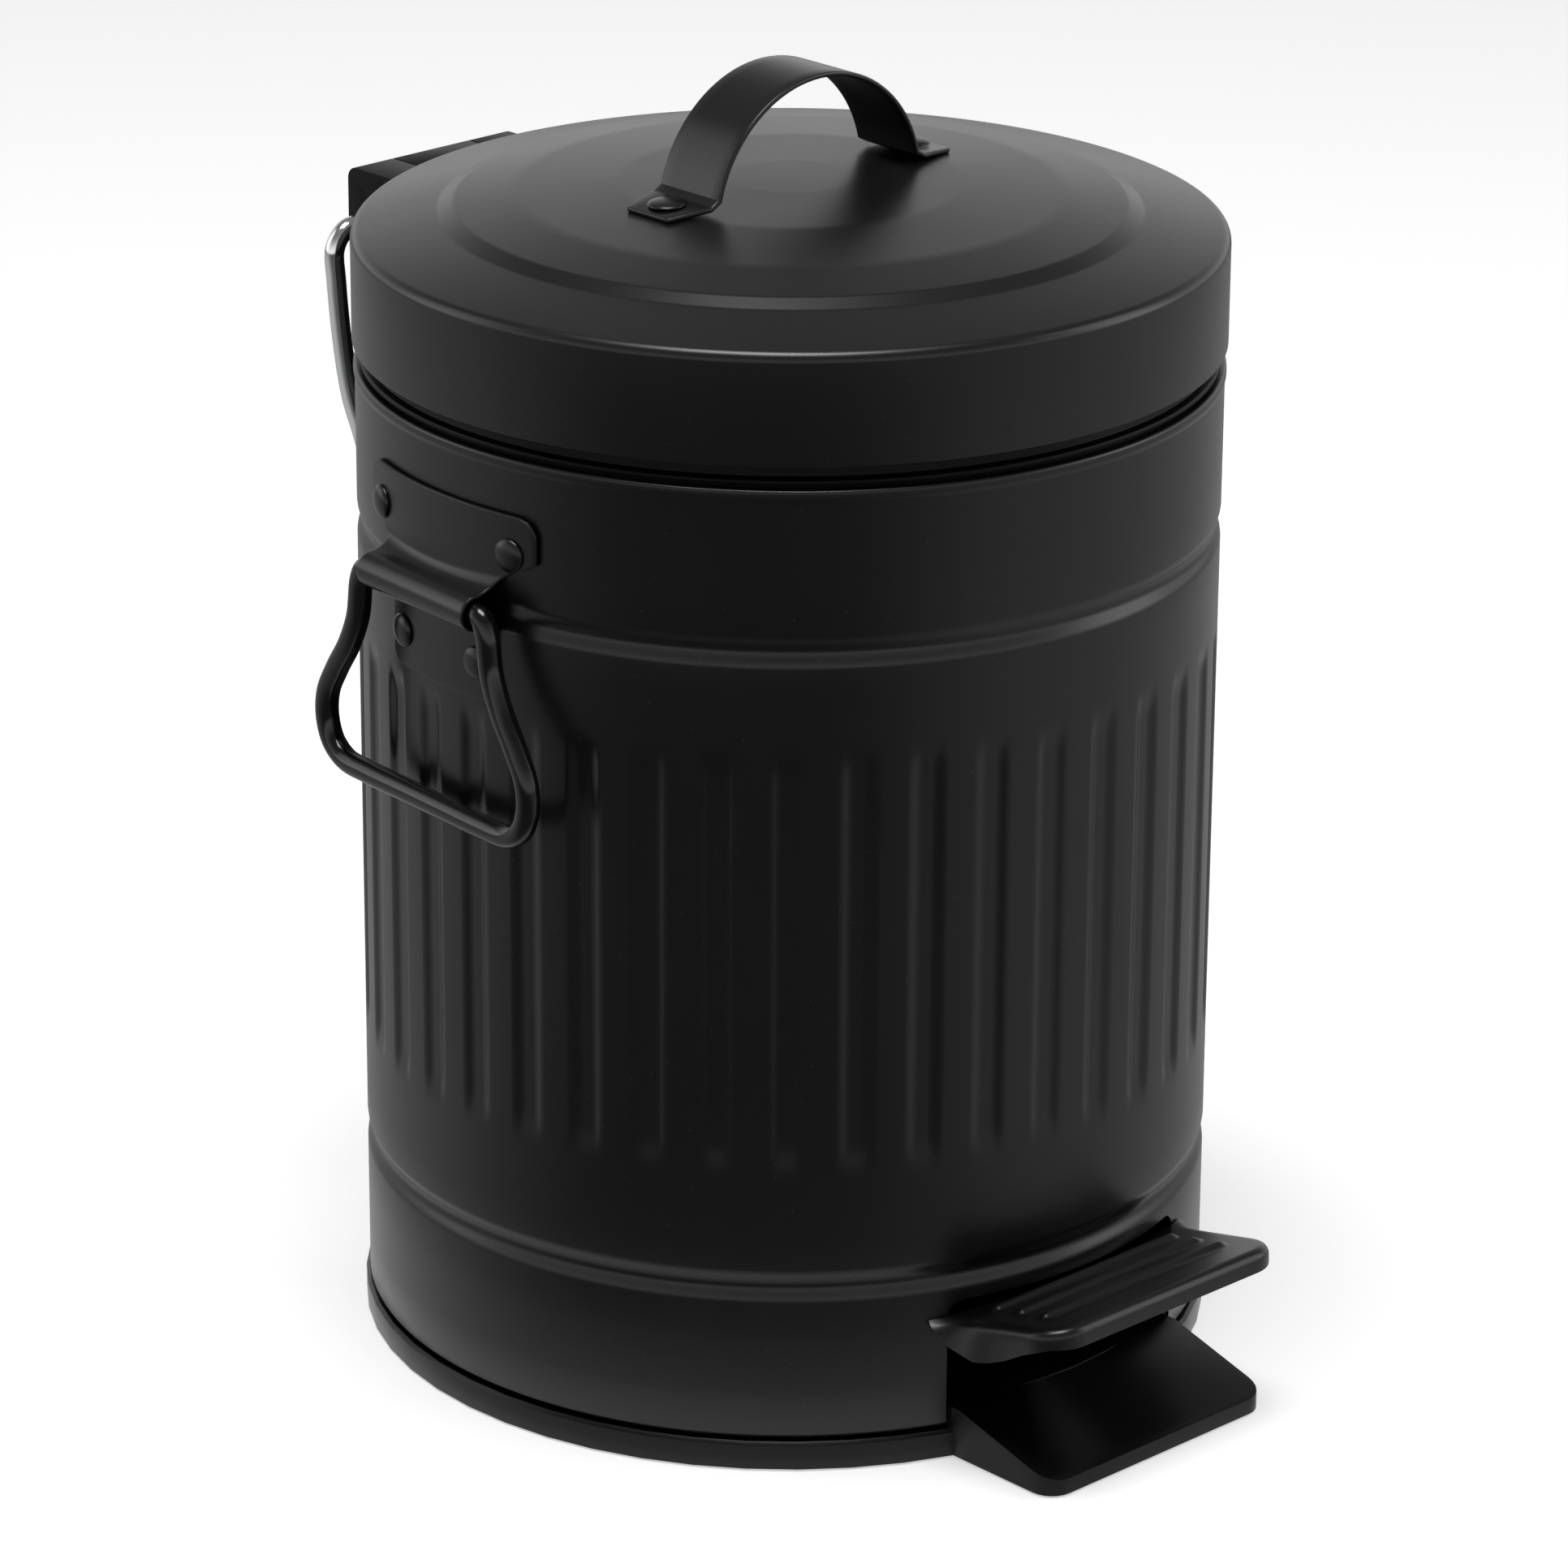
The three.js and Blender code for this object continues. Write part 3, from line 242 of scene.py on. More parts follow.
def thicken(obj, millimetres, even=True):
    """Gives a sheet its thickness behind its faces. Even off keeps a tight fold's corners in."""
    wall = obj.modifiers.new("Wall", "SOLIDIFY")
    wall.thickness = millimetres * MM
    wall.offset = -1
    wall.use_even_offset = even
    return obj


def ease_edges(obj, millimetres, segments=2, degrees=35):
    """Rounds the sharp edges."""
    bevel = obj.modifiers.new("Eased edges", "BEVEL")
    bevel.width = millimetres * MM
    bevel.segments = segments
    bevel.limit_method = "ANGLE"
    bevel.angle_limit = math.radians(degrees)
    return obj


def combine(obj, operation, other):
    """Cuts the other shape out of the object (DIFFERENCE) or joins it (UNION), and removes it."""
    cut = obj.modifiers.new("Combine", "BOOLEAN")
    cut.operation = operation
    cut.solver = "MANIFOLD"
    cut.object = other
    baked(obj)
    bpy.data.objects.remove(other)
    return obj


def prism(name, outline, low, high, axis="z"):
    """An outline of (u, v) points run from low to high along an axis."""
    order = {"z": (0, 1, 2), "y": (0, 2, 1), "x": (2, 0, 1)}[axis]
    n = len(outline)
    points = [tuple((u, v, w)[i] for i in order) for w in (low, high) for u, v in outline]
    faces = [tuple(range(n))[::-1], tuple(range(n, 2 * n))]
    faces += [(i, (i + 1) % n, (i + 1) % n + n, i + n) for i in range(n)]
    return face_out(mesh_object(name, points, faces))


def from_node(name, node, edge=0.4, segments=2, degrees=32):
    """A finer copy of a frame node: its loose triangles welded, flats joined and edges eased."""
    mesh = NODES[node].data.copy()
    obj = bpy.data.objects.new(name, mesh)
    bpy.context.scene.collection.objects.link(obj)
    bm = bmesh.new()
    bm.from_mesh(mesh)
    bmesh.ops.remove_doubles(bm, verts=bm.verts, dist=2e-6)
    bmesh.ops.dissolve_limit(bm, angle_limit=math.radians(1), verts=bm.verts, edges=bm.edges)
    bm.to_mesh(mesh)
    bm.free()
    mesh.materials.clear()
    if "custom_normal" in mesh.attributes:
        mesh.attributes.remove(mesh.attributes["custom_normal"])
    if edge:
        ease_edges(obj, edge, segments, degrees)
        baked(obj)
    return soften(obj, degrees)


def sheet_faces(rows, columns, turned=False):
    """The faces between neighbouring rows of a sheet's points."""
    starts = [i * columns + k for i in range(rows - 1) for k in range(columns - 1)]
    if turned:
        return [(a, a + columns, a + columns + 1, a + 1) for a in starts]
    return [(a, a + 1, a + columns + 1, a + columns) for a in starts]


def face_towards(obj, face, direction):
    """Flips a sheet if the given face looks away from the direction."""
    if obj.data.polygons[face].normal.dot(Vector(direction)) < 0:
        obj.data.flip_normals()


def mirrored(half):
    """A line from the right half's points on to the left half's."""
    return half + [(-x, y, z) for x, y, z in reversed(half)]


def settle(obj, body, slot, look, *nodes):
    """Gives a finished piece its material and its body, and hides the nodes that it stands for. The slot is
    not used.
    """
    obj.data.materials.clear()
    obj.data.materials.append(finish(look))
    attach(obj, body)
    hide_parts(*nodes)
    return obj


def dress(name, node, body, slot, look, edge=0.4, segments=2):
    """Settles a finer copy of a frame node in its place."""
    return settle(from_node(name, node, edge, segments), body, slot, look, node)


def smooth_path(points, per_span=8):
    """Points along a centripetal Catmull-Rom curve through the given ones."""
    p = [np.array(q, float) for q in points]
    p = [2 * p[0] - p[1], *p, 2 * p[-1] - p[-2]]
    out = []
    for i in range(1, len(p) - 2):
        q = p[i - 1 : i + 3]
        t = [0.0]
        for a, b in zip(q, q[1:]):
            t.append(t[-1] + math.sqrt(np.linalg.norm(b - a)))
        for k in range(per_span):
            u = t[1] + (t[2] - t[1]) * k / per_span

            def blend(a, b, low, high):
                return (t[high] - u) / (t[high] - t[low]) * a + (u - t[low]) / (t[high] - t[low]) * b

            a1, a2, a3 = (blend(q[j], q[j + 1], j, j + 1) for j in range(3))
            out.append(blend(blend(a1, a2, 0, 2), blend(a2, a3, 1, 3), 1, 2))
    out.append(p[-2])
    return out


# ---------------- node trees


class Nodes:
    """Lays out nodes in a tree."""

    def __init__(self, tree):
        self.tree = tree
        self.nodes = tree.nodes

    def link(self, source, target):
        self.tree.links.new(source, target)

    def feed(self, socket, value):
        """Links a socket to another one, or sets it to a plain value."""
        if isinstance(value, bpy.types.NodeSocket):
            self.link(value, socket)
        else:
            socket.default_value = value

    def node(self, kind, inputs=None, **settings):
        made = self.nodes.new(kind)
        for key, value in settings.items():
            setattr(made, key, value)
        for key, value in (inputs or {}).items():
            self.feed(made.inputs[key], value)
        return made

    def math(self, operation, *values, clamp=False):
        made = self.node("ShaderNodeMath", dict(enumerate(values)), operation=operation, use_clamp=clamp)
        return made.outputs[0]

    def ramp(self, value, a, b, c, d, kind="SMOOTHSTEP"):
        """Maps the value from the range a to b on to the range c to d."""
        inputs = dict(enumerate((value, a, b, c, d)))
        return self.node("ShaderNodeMapRange", inputs, interpolation_type=kind).outputs[0]


class Tree(Nodes):
    """A node group with sockets given as (name, kind) or (name, kind, default)."""

    def __init__(self, name, inputs, outputs, kind="ShaderNodeTree"):
        super().__init__(bpy.data.node_groups.new(name, kind))
        self.inlet = self.nodes.new("NodeGroupInput")
        self.outlet = self.nodes.new("NodeGroupOutput")
        for way, rows in (("INPUT", inputs), ("OUTPUT", outputs)):
            for label, socket, *default in rows:
                made = self.tree.interface.new_socket(label, in_out=way, socket_type=f"NodeSocket{socket}")
                if default:
                    made.default_value = default[0]


class MeshTree(Tree):
    """A geometry tree: a mesh goes in first, its material last, and a mesh comes out."""

    def __init__(self, name, *inputs):
        mesh = ("Geometry", "Geometry")
        super().__init__(name, [mesh, *inputs, ("Material", "Material")], [mesh], "GeometryNodeTree")

    def close(self, geometry):
        """Makes the result real, gives it the material and sends it out."""
        real = self.node("GeometryNodeRealizeInstances", {0: geometry})
        dressed = self.node("GeometryNodeSetMaterial", {
            "Geometry": real.outputs[0], "Material": self.inlet.outputs["Material"],
        })
        self.link(dressed.outputs[0], self.outlet.inputs[0])
        return self.tree


def with_tree(obj, tree, **values):
    """Puts a geometry tree on an object, its inputs set by identifier, and turns the result into a mesh."""
    modifier = obj.modifiers.new(tree.name, "NODES")
    modifier.node_group = tree
    for item in tree.interface.items_tree:
        if item.item_type == "SOCKET" and item.in_out == "INPUT" and item.name in values:
            modifier[item.identifier] = values[item.name]
    return baked(obj)


def flute_tree():
    """Presses flat-bottomed flutes into an upright wall."""
    t = MeshTree(
        "Pressed flutes", ("Flutes", "Float", 40.0), ("Phase", "Float", 0.0), ("Depth", "Float", 0.001),
        ("Mouth", "Float", 0.0075), ("Floor", "Float", 0.0045), ("Bottom", "Float", 0.074),
        ("Top", "Float", 0.18), ("Run-out", "Float", 0.004), ("Radius", "Float", 0.102),
    )
    g = t.inlet.outputs
    xyz = t.node("ShaderNodeSeparateXYZ", {0: t.node("GeometryNodeInputPosition").outputs[0]}).outputs
    angle = t.math("ARCTAN2", xyz[0], t.math("MULTIPLY", xyz[1], -1.0))
    pitch = t.math("DIVIDE", 2 * math.pi, g["Flutes"])
    turns = t.math("DIVIDE", t.math("SUBTRACT", angle, g["Phase"]), pitch)
    away = t.math("ABSOLUTE", t.math("SUBTRACT", turns, t.math("ROUND", turns)))
    across = t.math("MULTIPLY", t.math("MULTIPLY", away, pitch), g["Radius"])
    half_floor = t.math("MULTIPLY", g["Floor"], 0.5)
    half_mouth = t.math("MULTIPLY", g["Mouth"], 0.5)
    side = t.ramp(across, half_floor, half_mouth, 1.0, 0.0)
    low = t.math("SUBTRACT", xyz[2], g["Bottom"])
    high = t.math("SUBTRACT", g["Top"], xyz[2])
    end = t.ramp(t.math("MINIMUM", low, high), 0.0, g["Run-out"], 0.0, 1.0)
    sink = t.math("MULTIPLY", t.math("MULTIPLY", side, end), g["Depth"])
    scale = t.math("SUBTRACT", 1.0, t.math("DIVIDE", sink, g["Radius"]))
    move = t.node("ShaderNodeCombineXYZ", {
        0: t.math("MULTIPLY", xyz[0], scale), 1: t.math("MULTIPLY", xyz[1], scale), 2: xyz[2],
    })
    placed = t.node("GeometryNodeSetPosition", {"Geometry": g["Geometry"], "Position": move.outputs[0]})
    return t.close(placed.outputs[0])


def wire_tree():
    """Draws a round wire along a line of edges."""
    t = MeshTree("Round wire", ("Diameter", "Float", 0.005), ("Sides", "Int", 24))
    g = t.inlet.outputs
    line = t.node("GeometryNodeMeshToCurve", {0: g["Geometry"]})
    ring = t.node("GeometryNodeCurvePrimitiveCircle", {
        "Resolution": g["Sides"], "Radius": t.math("MULTIPLY", g["Diameter"], 0.5),
    })
    tube = t.node("GeometryNodeCurveToMesh", {
        "Curve": line.outputs[0], "Profile Curve": ring.outputs[0], "Fill Caps": True,
    })
    return t.close(t.node("GeometryNodeSetShadeSmooth", {0: tube.outputs[0]}).outputs[0])


def rivet_tree():
    """Sets one fastener at each vertex, turned by the vertex's own rotation."""
    t = MeshTree("Set fasteners", ("Fastener", "Object"), ("Scale", "Float", 1.0))
    g = t.inlet.outputs
    item = t.node("GeometryNodeObjectInfo", {"Object": g["Fastener"]})
    turn = t.node("GeometryNodeInputNamedAttribute", {"Name": "turn"}, data_type="FLOAT_VECTOR")
    made = t.node("GeometryNodeInstanceOnPoints", {
        "Points": g["Geometry"], "Instance": item.outputs["Geometry"], "Scale": g["Scale"],
        "Rotation": turn.outputs[0],
    })
    return t.close(made.outputs[0])


def tree(name, make):
    """The named tree, built the first time that it is asked for."""
    return bpy.data.node_groups.get(name) or make()


def wire(name, points, diameter, look):
    """A wire piece through the points."""
    path = smooth_path(points)
    line = mesh_object(name, path, [], [(i, i + 1) for i in range(len(path) - 1)])
    return with_tree(line, tree("Round wire", wire_tree), Diameter=diameter, Sides=28, Material=finish(look))


def fasteners(name, head, places, look):
    """One piece with a fastener at each (point, rotation) place."""
    dots = mesh_object(name, [p for p, _ in places], [])
    turn = dots.data.attributes.new("turn", "FLOAT_VECTOR", "POINT")
    turn.data.foreach_set("vector", [v for _, r in places for v in r.to_euler()])
    made = with_tree(dots, tree("Set fasteners", rivet_tree), Fastener=head, Scale=1.0, Material=finish(look))
    return soften(made, 40)


# ---------------- finishes


def grain_group():
    """Fine unevenness of a sprayed or moulded surface, with slow changes of gloss and tone."""
    t = Tree("Surface grain", [
        ("Grain size", "Float", 0.0008), ("Patch size", "Float", 0.05), ("Gloss change", "Float", 0.05),
        ("Roughness", "Float", 0.4), ("Colour", "Color", (0.02, 0.02, 0.02, 1)),
        ("Tone change", "Float", 0.2),
    ], [("Height", "Float"), ("Roughness", "Float"), ("Colour", "Color")])
    g = t.inlet.outputs
    place = t.node("ShaderNodeTexCoord").outputs["Object"]
    fine, slow = (t.node("ShaderNodeTexNoise", {
        "Vector": place, "Scale": t.math("DIVIDE", 1.0, g[size]), "Detail": detail, "Roughness": roughness,
    }) for size, detail, roughness in (("Grain size", 3.0, 0.6), ("Patch size", 4.0, 0.55)))
    swing = t.math("MULTIPLY", t.math("SUBTRACT", slow.outputs[0], 0.5), 2.0)
    rough = t.math("ADD", g["Roughness"], t.math("MULTIPLY", swing, g["Gloss change"]), clamp=True)
    lift = t.math("ADD", 1.0, t.math("MULTIPLY", swing, g["Tone change"]))
    tone = t.node("ShaderNodeVectorMath", {0: g["Colour"], "Scale": lift}, operation="SCALE")
    for name, value in (("Height", fine.outputs[0]), ("Roughness", rough), ("Colour", tone.outputs[0])):
        t.link(value, t.outlet.inputs[name])
    return t.tree


def dust_group():
    """Sparse pale specks."""
    t = Tree("Dust specks", [
        ("Colour", "Color", (0.02, 0.02, 0.02, 1)), ("Speck size", "Float", 0.004), ("Amount", "Float", 0.5),
    ], [("Colour", "Color")])
    g = t.inlet.outputs
    cell = t.node("ShaderNodeTexVoronoi", {
        "Vector": t.node("ShaderNodeTexCoord").outputs["Object"],
        "Scale": t.math("DIVIDE", 1.0, g["Speck size"]), "Randomness": 1.0,
    })
    dot = t.ramp(cell.outputs["Distance"], 0.03, 0.07, 1.0, 0.0)
    mask = t.math("MULTIPLY", dot, g["Amount"], clamp=True)
    mix = t.node("ShaderNodeMix", {"Factor": mask, 6: g["Colour"], 7: (0.2, 0.2, 0.2, 1)}, data_type="RGBA")
    t.link(mix.outputs[2], t.outlet.inputs[0])
    return t.tree


# What a finish has unless its own row says otherwise.
PLAIN = dict(metallic=0.0, specular=0.5, grain=0.0008, bump=0.1, patch=0.05, gloss_change=0.04,
             tone_change=0.2, dust=0.0)
FINISHES = {
    "powder coat": dict(colour="coat", roughness=0.3, grain=0.0009, dust=0.16),
    "handle gloss": dict(colour="wire", roughness=0.16, grain=0.0014, bump=0.06),
    "moulded plastic": dict(colour="plastic", roughness=0.3, specular=0.3, grain=0.0005, bump=0.15),
    # A duller copy of the moulded plastic: its low specular paints shade into the collar, the hinge housing
    # and the lid's arm.
    "shaded plastic": dict(colour="plastic", roughness=0.4, specular=0.12, grain=0.0005, bump=0.15),
    "bucket plastic": dict(colour="bucket", roughness=0.45, grain=0.0004, bump=0.25),
    "zinc plate": dict(colour="zinc", roughness=0.32, metallic=1.0, grain=0.0012, bump=0.08, patch=0.012,
                       gloss_change=0.08, tone_change=0.15),
    "chrome": dict(colour="chrome", roughness=0.06, metallic=1.0, grain=0.002, bump=0.02,
                   gloss_change=0.02, tone_change=0.03),
    "pad rubber": dict(colour="rubber", roughness=0.8, specular=0.3, grain=0.0006, bump=0.4),
}


def finish(name):
    """The named finish: its plain values on the shader, its unevenness from the shared groups."""
    known = bpy.data.materials.get(name)
    if known:
        return known
    look = {**PLAIN, **FINISHES[name]}
    colour = getattr(bpy.context.scene.bin_colours, look["colour"])
    material = bpy.data.materials.new(name)
    material.use_nodes = True
    t = Nodes(material.node_tree)
    surface = t.node("ShaderNodeGroup", {
        "Grain size": look["grain"], "Patch size": look["patch"], "Gloss change": look["gloss_change"],
        "Roughness": look["roughness"], "Colour": (*colour, 1), "Tone change": look["tone_change"],
    }, node_tree=tree("Surface grain", grain_group)).outputs
    tint = surface["Colour"]
    if look["dust"]:
        inputs = {"Colour": tint, "Amount": look["dust"]}
        tint = t.node("ShaderNodeGroup", inputs, node_tree=tree("Dust specks", dust_group)).outputs["Colour"]
    relief = t.node("ShaderNodeBump", {
        "Strength": look["bump"], "Distance": 0.0001, "Height": surface["Height"],
    })
    shader = t.nodes["Principled BSDF"]
    for socket, value in (
        ("Base Color", tint), ("Metallic", look["metallic"]), ("Roughness", surface["Roughness"]),
        ("Specular IOR Level", look["specular"]), ("Normal", relief.outputs["Normal"]),
    ):
        t.feed(shader.inputs[socket], value)
    return material


# ---------------- body, collar and base


def spread(low, high, count):
    """Even steps from low to high."""
    return [low + (high - low) * i / (count - 1) for i in range(count)]


def bead_line(centre, radius, half=4.3, depth=1.3, steps=12):
    """The soft inward groove of a rolled bead."""
    line = []
    for i in range(steps + 1):
        u = -1 + 2 * i / steps
        line.append((radius - depth * 0.5 * (1 + math.cos(math.pi * u)), centre + half * u))
    return line


def body_wall():
    """The outside of the body from the bottom up, with close rows at the flutes' ends."""
    rows = [(101.2, 8.5), (101.7, 8.6), (102.0, 9.1), (102.0, 20), (102.0, 32)]
    rows += bead_line(46.8, BODY_R)
    rows += [(BODY_R, z) for z in (58, 68, 73, *spread(74, 83, 9), 95, 112, 127, 142, 159)]
    rows += [(BODY_R, z) for z in (*spread(171, 180, 9), 181, 186, 192)]
    rows += bead_line(202.6, BODY_R)
    return rows + fillet([
        (BODY_R, 214), (BODY_R, 226), (BODY_R, 237.6, 2), (BODY_R + 0.35, 238.6, 0.8),
        (BODY_R + 0.3, 240.5, 0.8), (99.6, 240.5),
    ], 6)


class BIN_OT_body(bpy.types.Operator):
    """Builds the fluted body with its rolled rim and the doorway of the pedal"""

    bl_idname = "bin.body"
    bl_label = "Fluted body"

    def execute(self, context):
        sizes = context.scene.bin_sizes
        columns = 640
        body = face_out(revolve("fluted_body", body_wall(), columns))
        with_tree(
            body, tree("Pressed flutes", flute_tree), Flutes=float(sizes.flutes), Phase=sizes.flute_phase,
            Depth=sizes.flute_depth, Mouth=sizes.flute_mouth, Floor=sizes.flute_floor,
            Material=finish("powder coat"), **{"Run-out": 0.009},
        )
        thicken(body, 1.0)
        baked(body)
        door = fillet([(-37.6, 0), (-37.6, 40, 4), (37.6, 40, 4), (37.6, 0)], 6)
        combine(body, "DIFFERENCE", prism("door", door, -112, -85, "y"))
        settle(soften(body, 40), "bin", "black_coat", "powder coat", "body_shell")
        return {"FINISHED"}


class BIN_OT_collar(bpy.types.Operator):
    """Builds the collar that shows between the body and the lid"""

    bl_idname = "bin.collar"
    bl_label = "Collar"

    def execute(self, context):
        line = fillet([
            (97.7, 231), (99.7, 231, 0.4), (99.7, 241.1), (101.0, 241.3, 0.3), (101.0, 242.4, 0.5),
            (99.3, 242.9, 0.3), (99.0, 247.2, 0.5), (97.5, 247.2, 0.5), (97.3, 242.6, 0.6),
            (88.3, 242.6, 0.8), (88.3, 240.2, 0.5), (97.7, 240.0, 0.5), (97.7, 231),
        ], 3)
        ring = face_out(revolve("rim_collar", line[:-1], 192, closed=True))
        # The collar wears the plastic copy whose low specular paints it as dark as shade.
        settle(soften(ring, 40), "bin", "black_plastic", "shaded plastic", "top_collar")
        return {"FINISHED"}


class BIN_OT_base(bpy.types.Operator):
    """Builds the base tray with its foot ramp, and the floor pads"""

    bl_idname = "bin.base"
    bl_label = "Base and ramp"

    def execute(self, context):
        dress("base_and_ramp", "base_tray", "bin", "black_plastic", "moulded plastic", edge=0.55, segments=3)
        for i in range(1, 5):
            dress(f"pad_{i}", f"floor_pad_{i}", "bin", "rubber", "pad rubber", edge=0.5, segments=3)
        return {"FINISHED"}


# ---------------- lid


def lid_line():
    """The outside of the lid from the skirt's edge up to its middle."""
    return fillet([
        (LID_R - 0.5, 245.9), (LID_R, 246.1, 0.25), (LID_R, 258), (LID_R, 272.0, 2.6), (82.4, 276.0, 3.2),
        (78.6, 278.05, 3.2), (64.0, 280.6, 40), (40.0, 282.6, 60), (14, 283.4, 40), (0, 283.6),
    ], 8)


def lid_height(r):
    """The height of the lid's top under the strap."""
    return float(np.interp(r, [0, 40, 64, 79], [283.6, 282.7, 280.6, 278.1]))


class BIN_OT_lid(bpy.types.Operator):
    """Builds the domed lid"""

    bl_idname = "bin.lid"
    bl_label = "Lid"

    def execute(self, context):
        lid = face_out(revolve("domed_lid", lid_line(), 288))
        thicken(lid, 0.9)
        baked(lid)
        notch = [(-11.2, 240), (-11.2, 258.6), (11.2, 258.6), (11.2, 240)]
        combine(lid, "DIFFERENCE", prism("notch", notch, 92, 110, "y"))
        settle(soften(lid, 40), "lid", "black_coat", "powder coat", "lid_shell")
        return {"FINISHED"}


class BIN_OT_strap(bpy.types.Operator):
    """Builds the arched strap on the lid"""

    bl_idname = "bin.strap"
    bl_label = "Strap handle"

    def execute(self, context):
        steps, half_width, rise, spring = 40, 33.0, 31.9, 278.1
        arch = []
        for i in range(steps + 1):
            t = math.radians(14 + 152 * i / steps)
            arch.append((half_width * math.cos(t), spring + rise * math.sin(t)))
        foot = lid_height(40) + 0.35 + 1.2
        start = [(45.2, foot - 0.9), (34.2, foot + 0.35, 2.2)]
        end = [(-x, z, *rest) for x, z, *rest in reversed(start)]
        line = fillet([*start, *arch, *end], 6)
        length = [0.0]
        for a, b in zip(line, line[1:]):
            length.append(length[-1] + math.dist(a, b))
        columns, corner, straight = 7, 3, 7
        points = []
        for (x, z), s in zip(line, length):
            near = min(s, length[-1] - s)
            half = straight + math.sqrt(max(corner**2 - max(0, corner - near) ** 2, 0))
            points += [(x, -half + 2 * half * k / (columns - 1), z) for k in range(columns)]
        faces = sheet_faces(len(line), columns, turned=True)
        strap = mesh_object("strap_handle", points, faces)
        face_towards(strap, len(faces) // 2, (0, 0, 1))
        thicken(strap, 1.2)
        ease_edges(strap, 0.4, 3, 50)
        baked(strap)
        settle(soften(strap, 40), "lid", "black_coat", "powder coat", "lid_strap_handle")
        return {"FINISHED"}


# ---------------- rear hinge


class BIN_OT_hinge(bpy.types.Operator):
    """Builds the rear hinge housing, the lid's arm and the carrying bail"""

    bl_idname = "bin.hinge"
    bl_label = "Rear hinge and bail"

    def execute(self, context):
        sizes = context.scene.bin_sizes
        y, z = HINGE
        clearance = 14.8
        turns = [math.radians(a) for a in range(-90, 1, 6)]
        sweep = [(y + clearance * math.cos(t), z + clearance * math.sin(t)) for t in turns]
        housing = from_node("hinge_block", "hinge_housing", edge=0)
        combine(housing, "DIFFERENCE", prism("sweep", [(y, z), *sweep], -12.5, 12.5, "x"))
        soften(baked(ease_edges(housing, 0.6, 3, 32)), 32)
        # The housing and the arm wear the plastic copy whose low specular paints shade into them.
        settle(housing, "bin", "black_plastic", "shaded plastic", "hinge_housing")
        corner = fillet([
            (y + 5.6, z), (y + 10.9, z), (y + 10.9, z + 11.4, 2.6), (y - 2, z + 11.4), (y - 2, z + 9),
            (y, z + 5.6),
        ], 5)
        arm = from_node("hinge_tongue", "lid_hinge_arm", edge=0)
        combine(arm, "UNION", prism("corner", corner, -12, 12, "x"))
        soften(baked(ease_edges(arm, 0.4, 2, 32)), 32)
        settle(arm, "lid", "black_plastic", "shaded plastic", "lid_hinge_arm")
        dress("hinge_axle", "hinge_pin", "bin", "zinc_plate", "zinc plate", edge=0.3)
        half = [
            (19.4, y, z), (28.4, y, z), (35.2, y, z - 0.3), (38.6, y, z - 4.4), (38.4, y, 239),
            (36.7, y, 222), (34.4, y, 209), (31.2, y, 199), (27.6, y, 187), (24.6, y, 176.4), (21.4, y, 171),
            (16, y, 168.4), (8, y, 168),
        ]
        bail = wire("carrying_bail", mirrored(half), sizes.rear_wire, "chrome")
        settle(bail, "rear_handle", "chrome", "chrome", "rear_bail")
        return {"FINISHED"}


# ---------------- side handles


PLATE_TOP, PLATE_BOTTOM = 227.6, 181.4
UPPER_HALF, UPPER_BOTTOM, UPPER_CORNER = 31.6, 213.0, 5.0
LOWER_HALF, LOWER_CORNER = 19.4, 4.0
NECK, NECK_BOTTOM = 3.4, 209.4


def plate_line():
    """The plate's section from the top down: (distance from the axis, height, how far it is bent flat)."""
    line = [(PLATE_R, h, 0.0) for h in (*spread(PLATE_TOP, 217, 14), 215.6, 214.2, 212.8)]
    line += [(PLATE_R + 0.05, 211.6, 0.1), (PLATE_R + 0.3, 210.6, 0.3), (PLATE_R + 0.9, 209.8, 0.55)]
    line.append((PLATE_R + 1.8, 209.2, 0.8))
    for deg in range(96, -91, -12):
        t = math.radians(deg)
        line.append((SLEEVE_D + SLEEVE_R * math.cos(t), SLEEVE_Z + SLEEVE_R * math.sin(t), 1.0))
    line += [(SLEEVE_D - 1.6, SLEEVE_Z - SLEEVE_R - 0.1, 0.85), (PLATE_R + 0.7, 199.4, 0.5)]
    line.append((PLATE_R + 0.1, 198.4, 0.2))
    lower = (197.2, 195.8, 194, 192, 190, 188, *spread(186.6, PLATE_BOTTOM, 9))
    return line + [(PLATE_R, h, 0.0) for h in lower]


def plate_half(z, past):
    """Half the plate's width at a height before or past the sleeve: round corners and a drawn-in neck."""
    if not past and z > UPPER_BOTTOM:
        low = UPPER_BOTTOM + UPPER_CORNER
        if z < low:
            t = (low - z) / UPPER_CORNER
            return UPPER_HALF - (UPPER_HALF - SLEEVE_HALF - NECK) * (t * t * (3 - 2 * t)) ** 1.5
        reach = max(z - PLATE_TOP + UPPER_CORNER, 0)
        return UPPER_HALF - UPPER_CORNER + math.sqrt(max(UPPER_CORNER**2 - reach**2, 0))
    if not past and z > NECK_BOTTOM:
        return SLEEVE_HALF + NECK * ((z - NECK_BOTTOM) / (UPPER_BOTTOM - NECK_BOTTOM)) ** 2
    if z > 196:
        return LOWER_HALF if past and z < 199.5 else SLEEVE_HALF
    reach = max(PLATE_BOTTOM + LOWER_CORNER - z, 0)
    return LOWER_HALF - LOWER_CORNER + math.sqrt(max(LOWER_CORNER**2 - reach**2, 0))


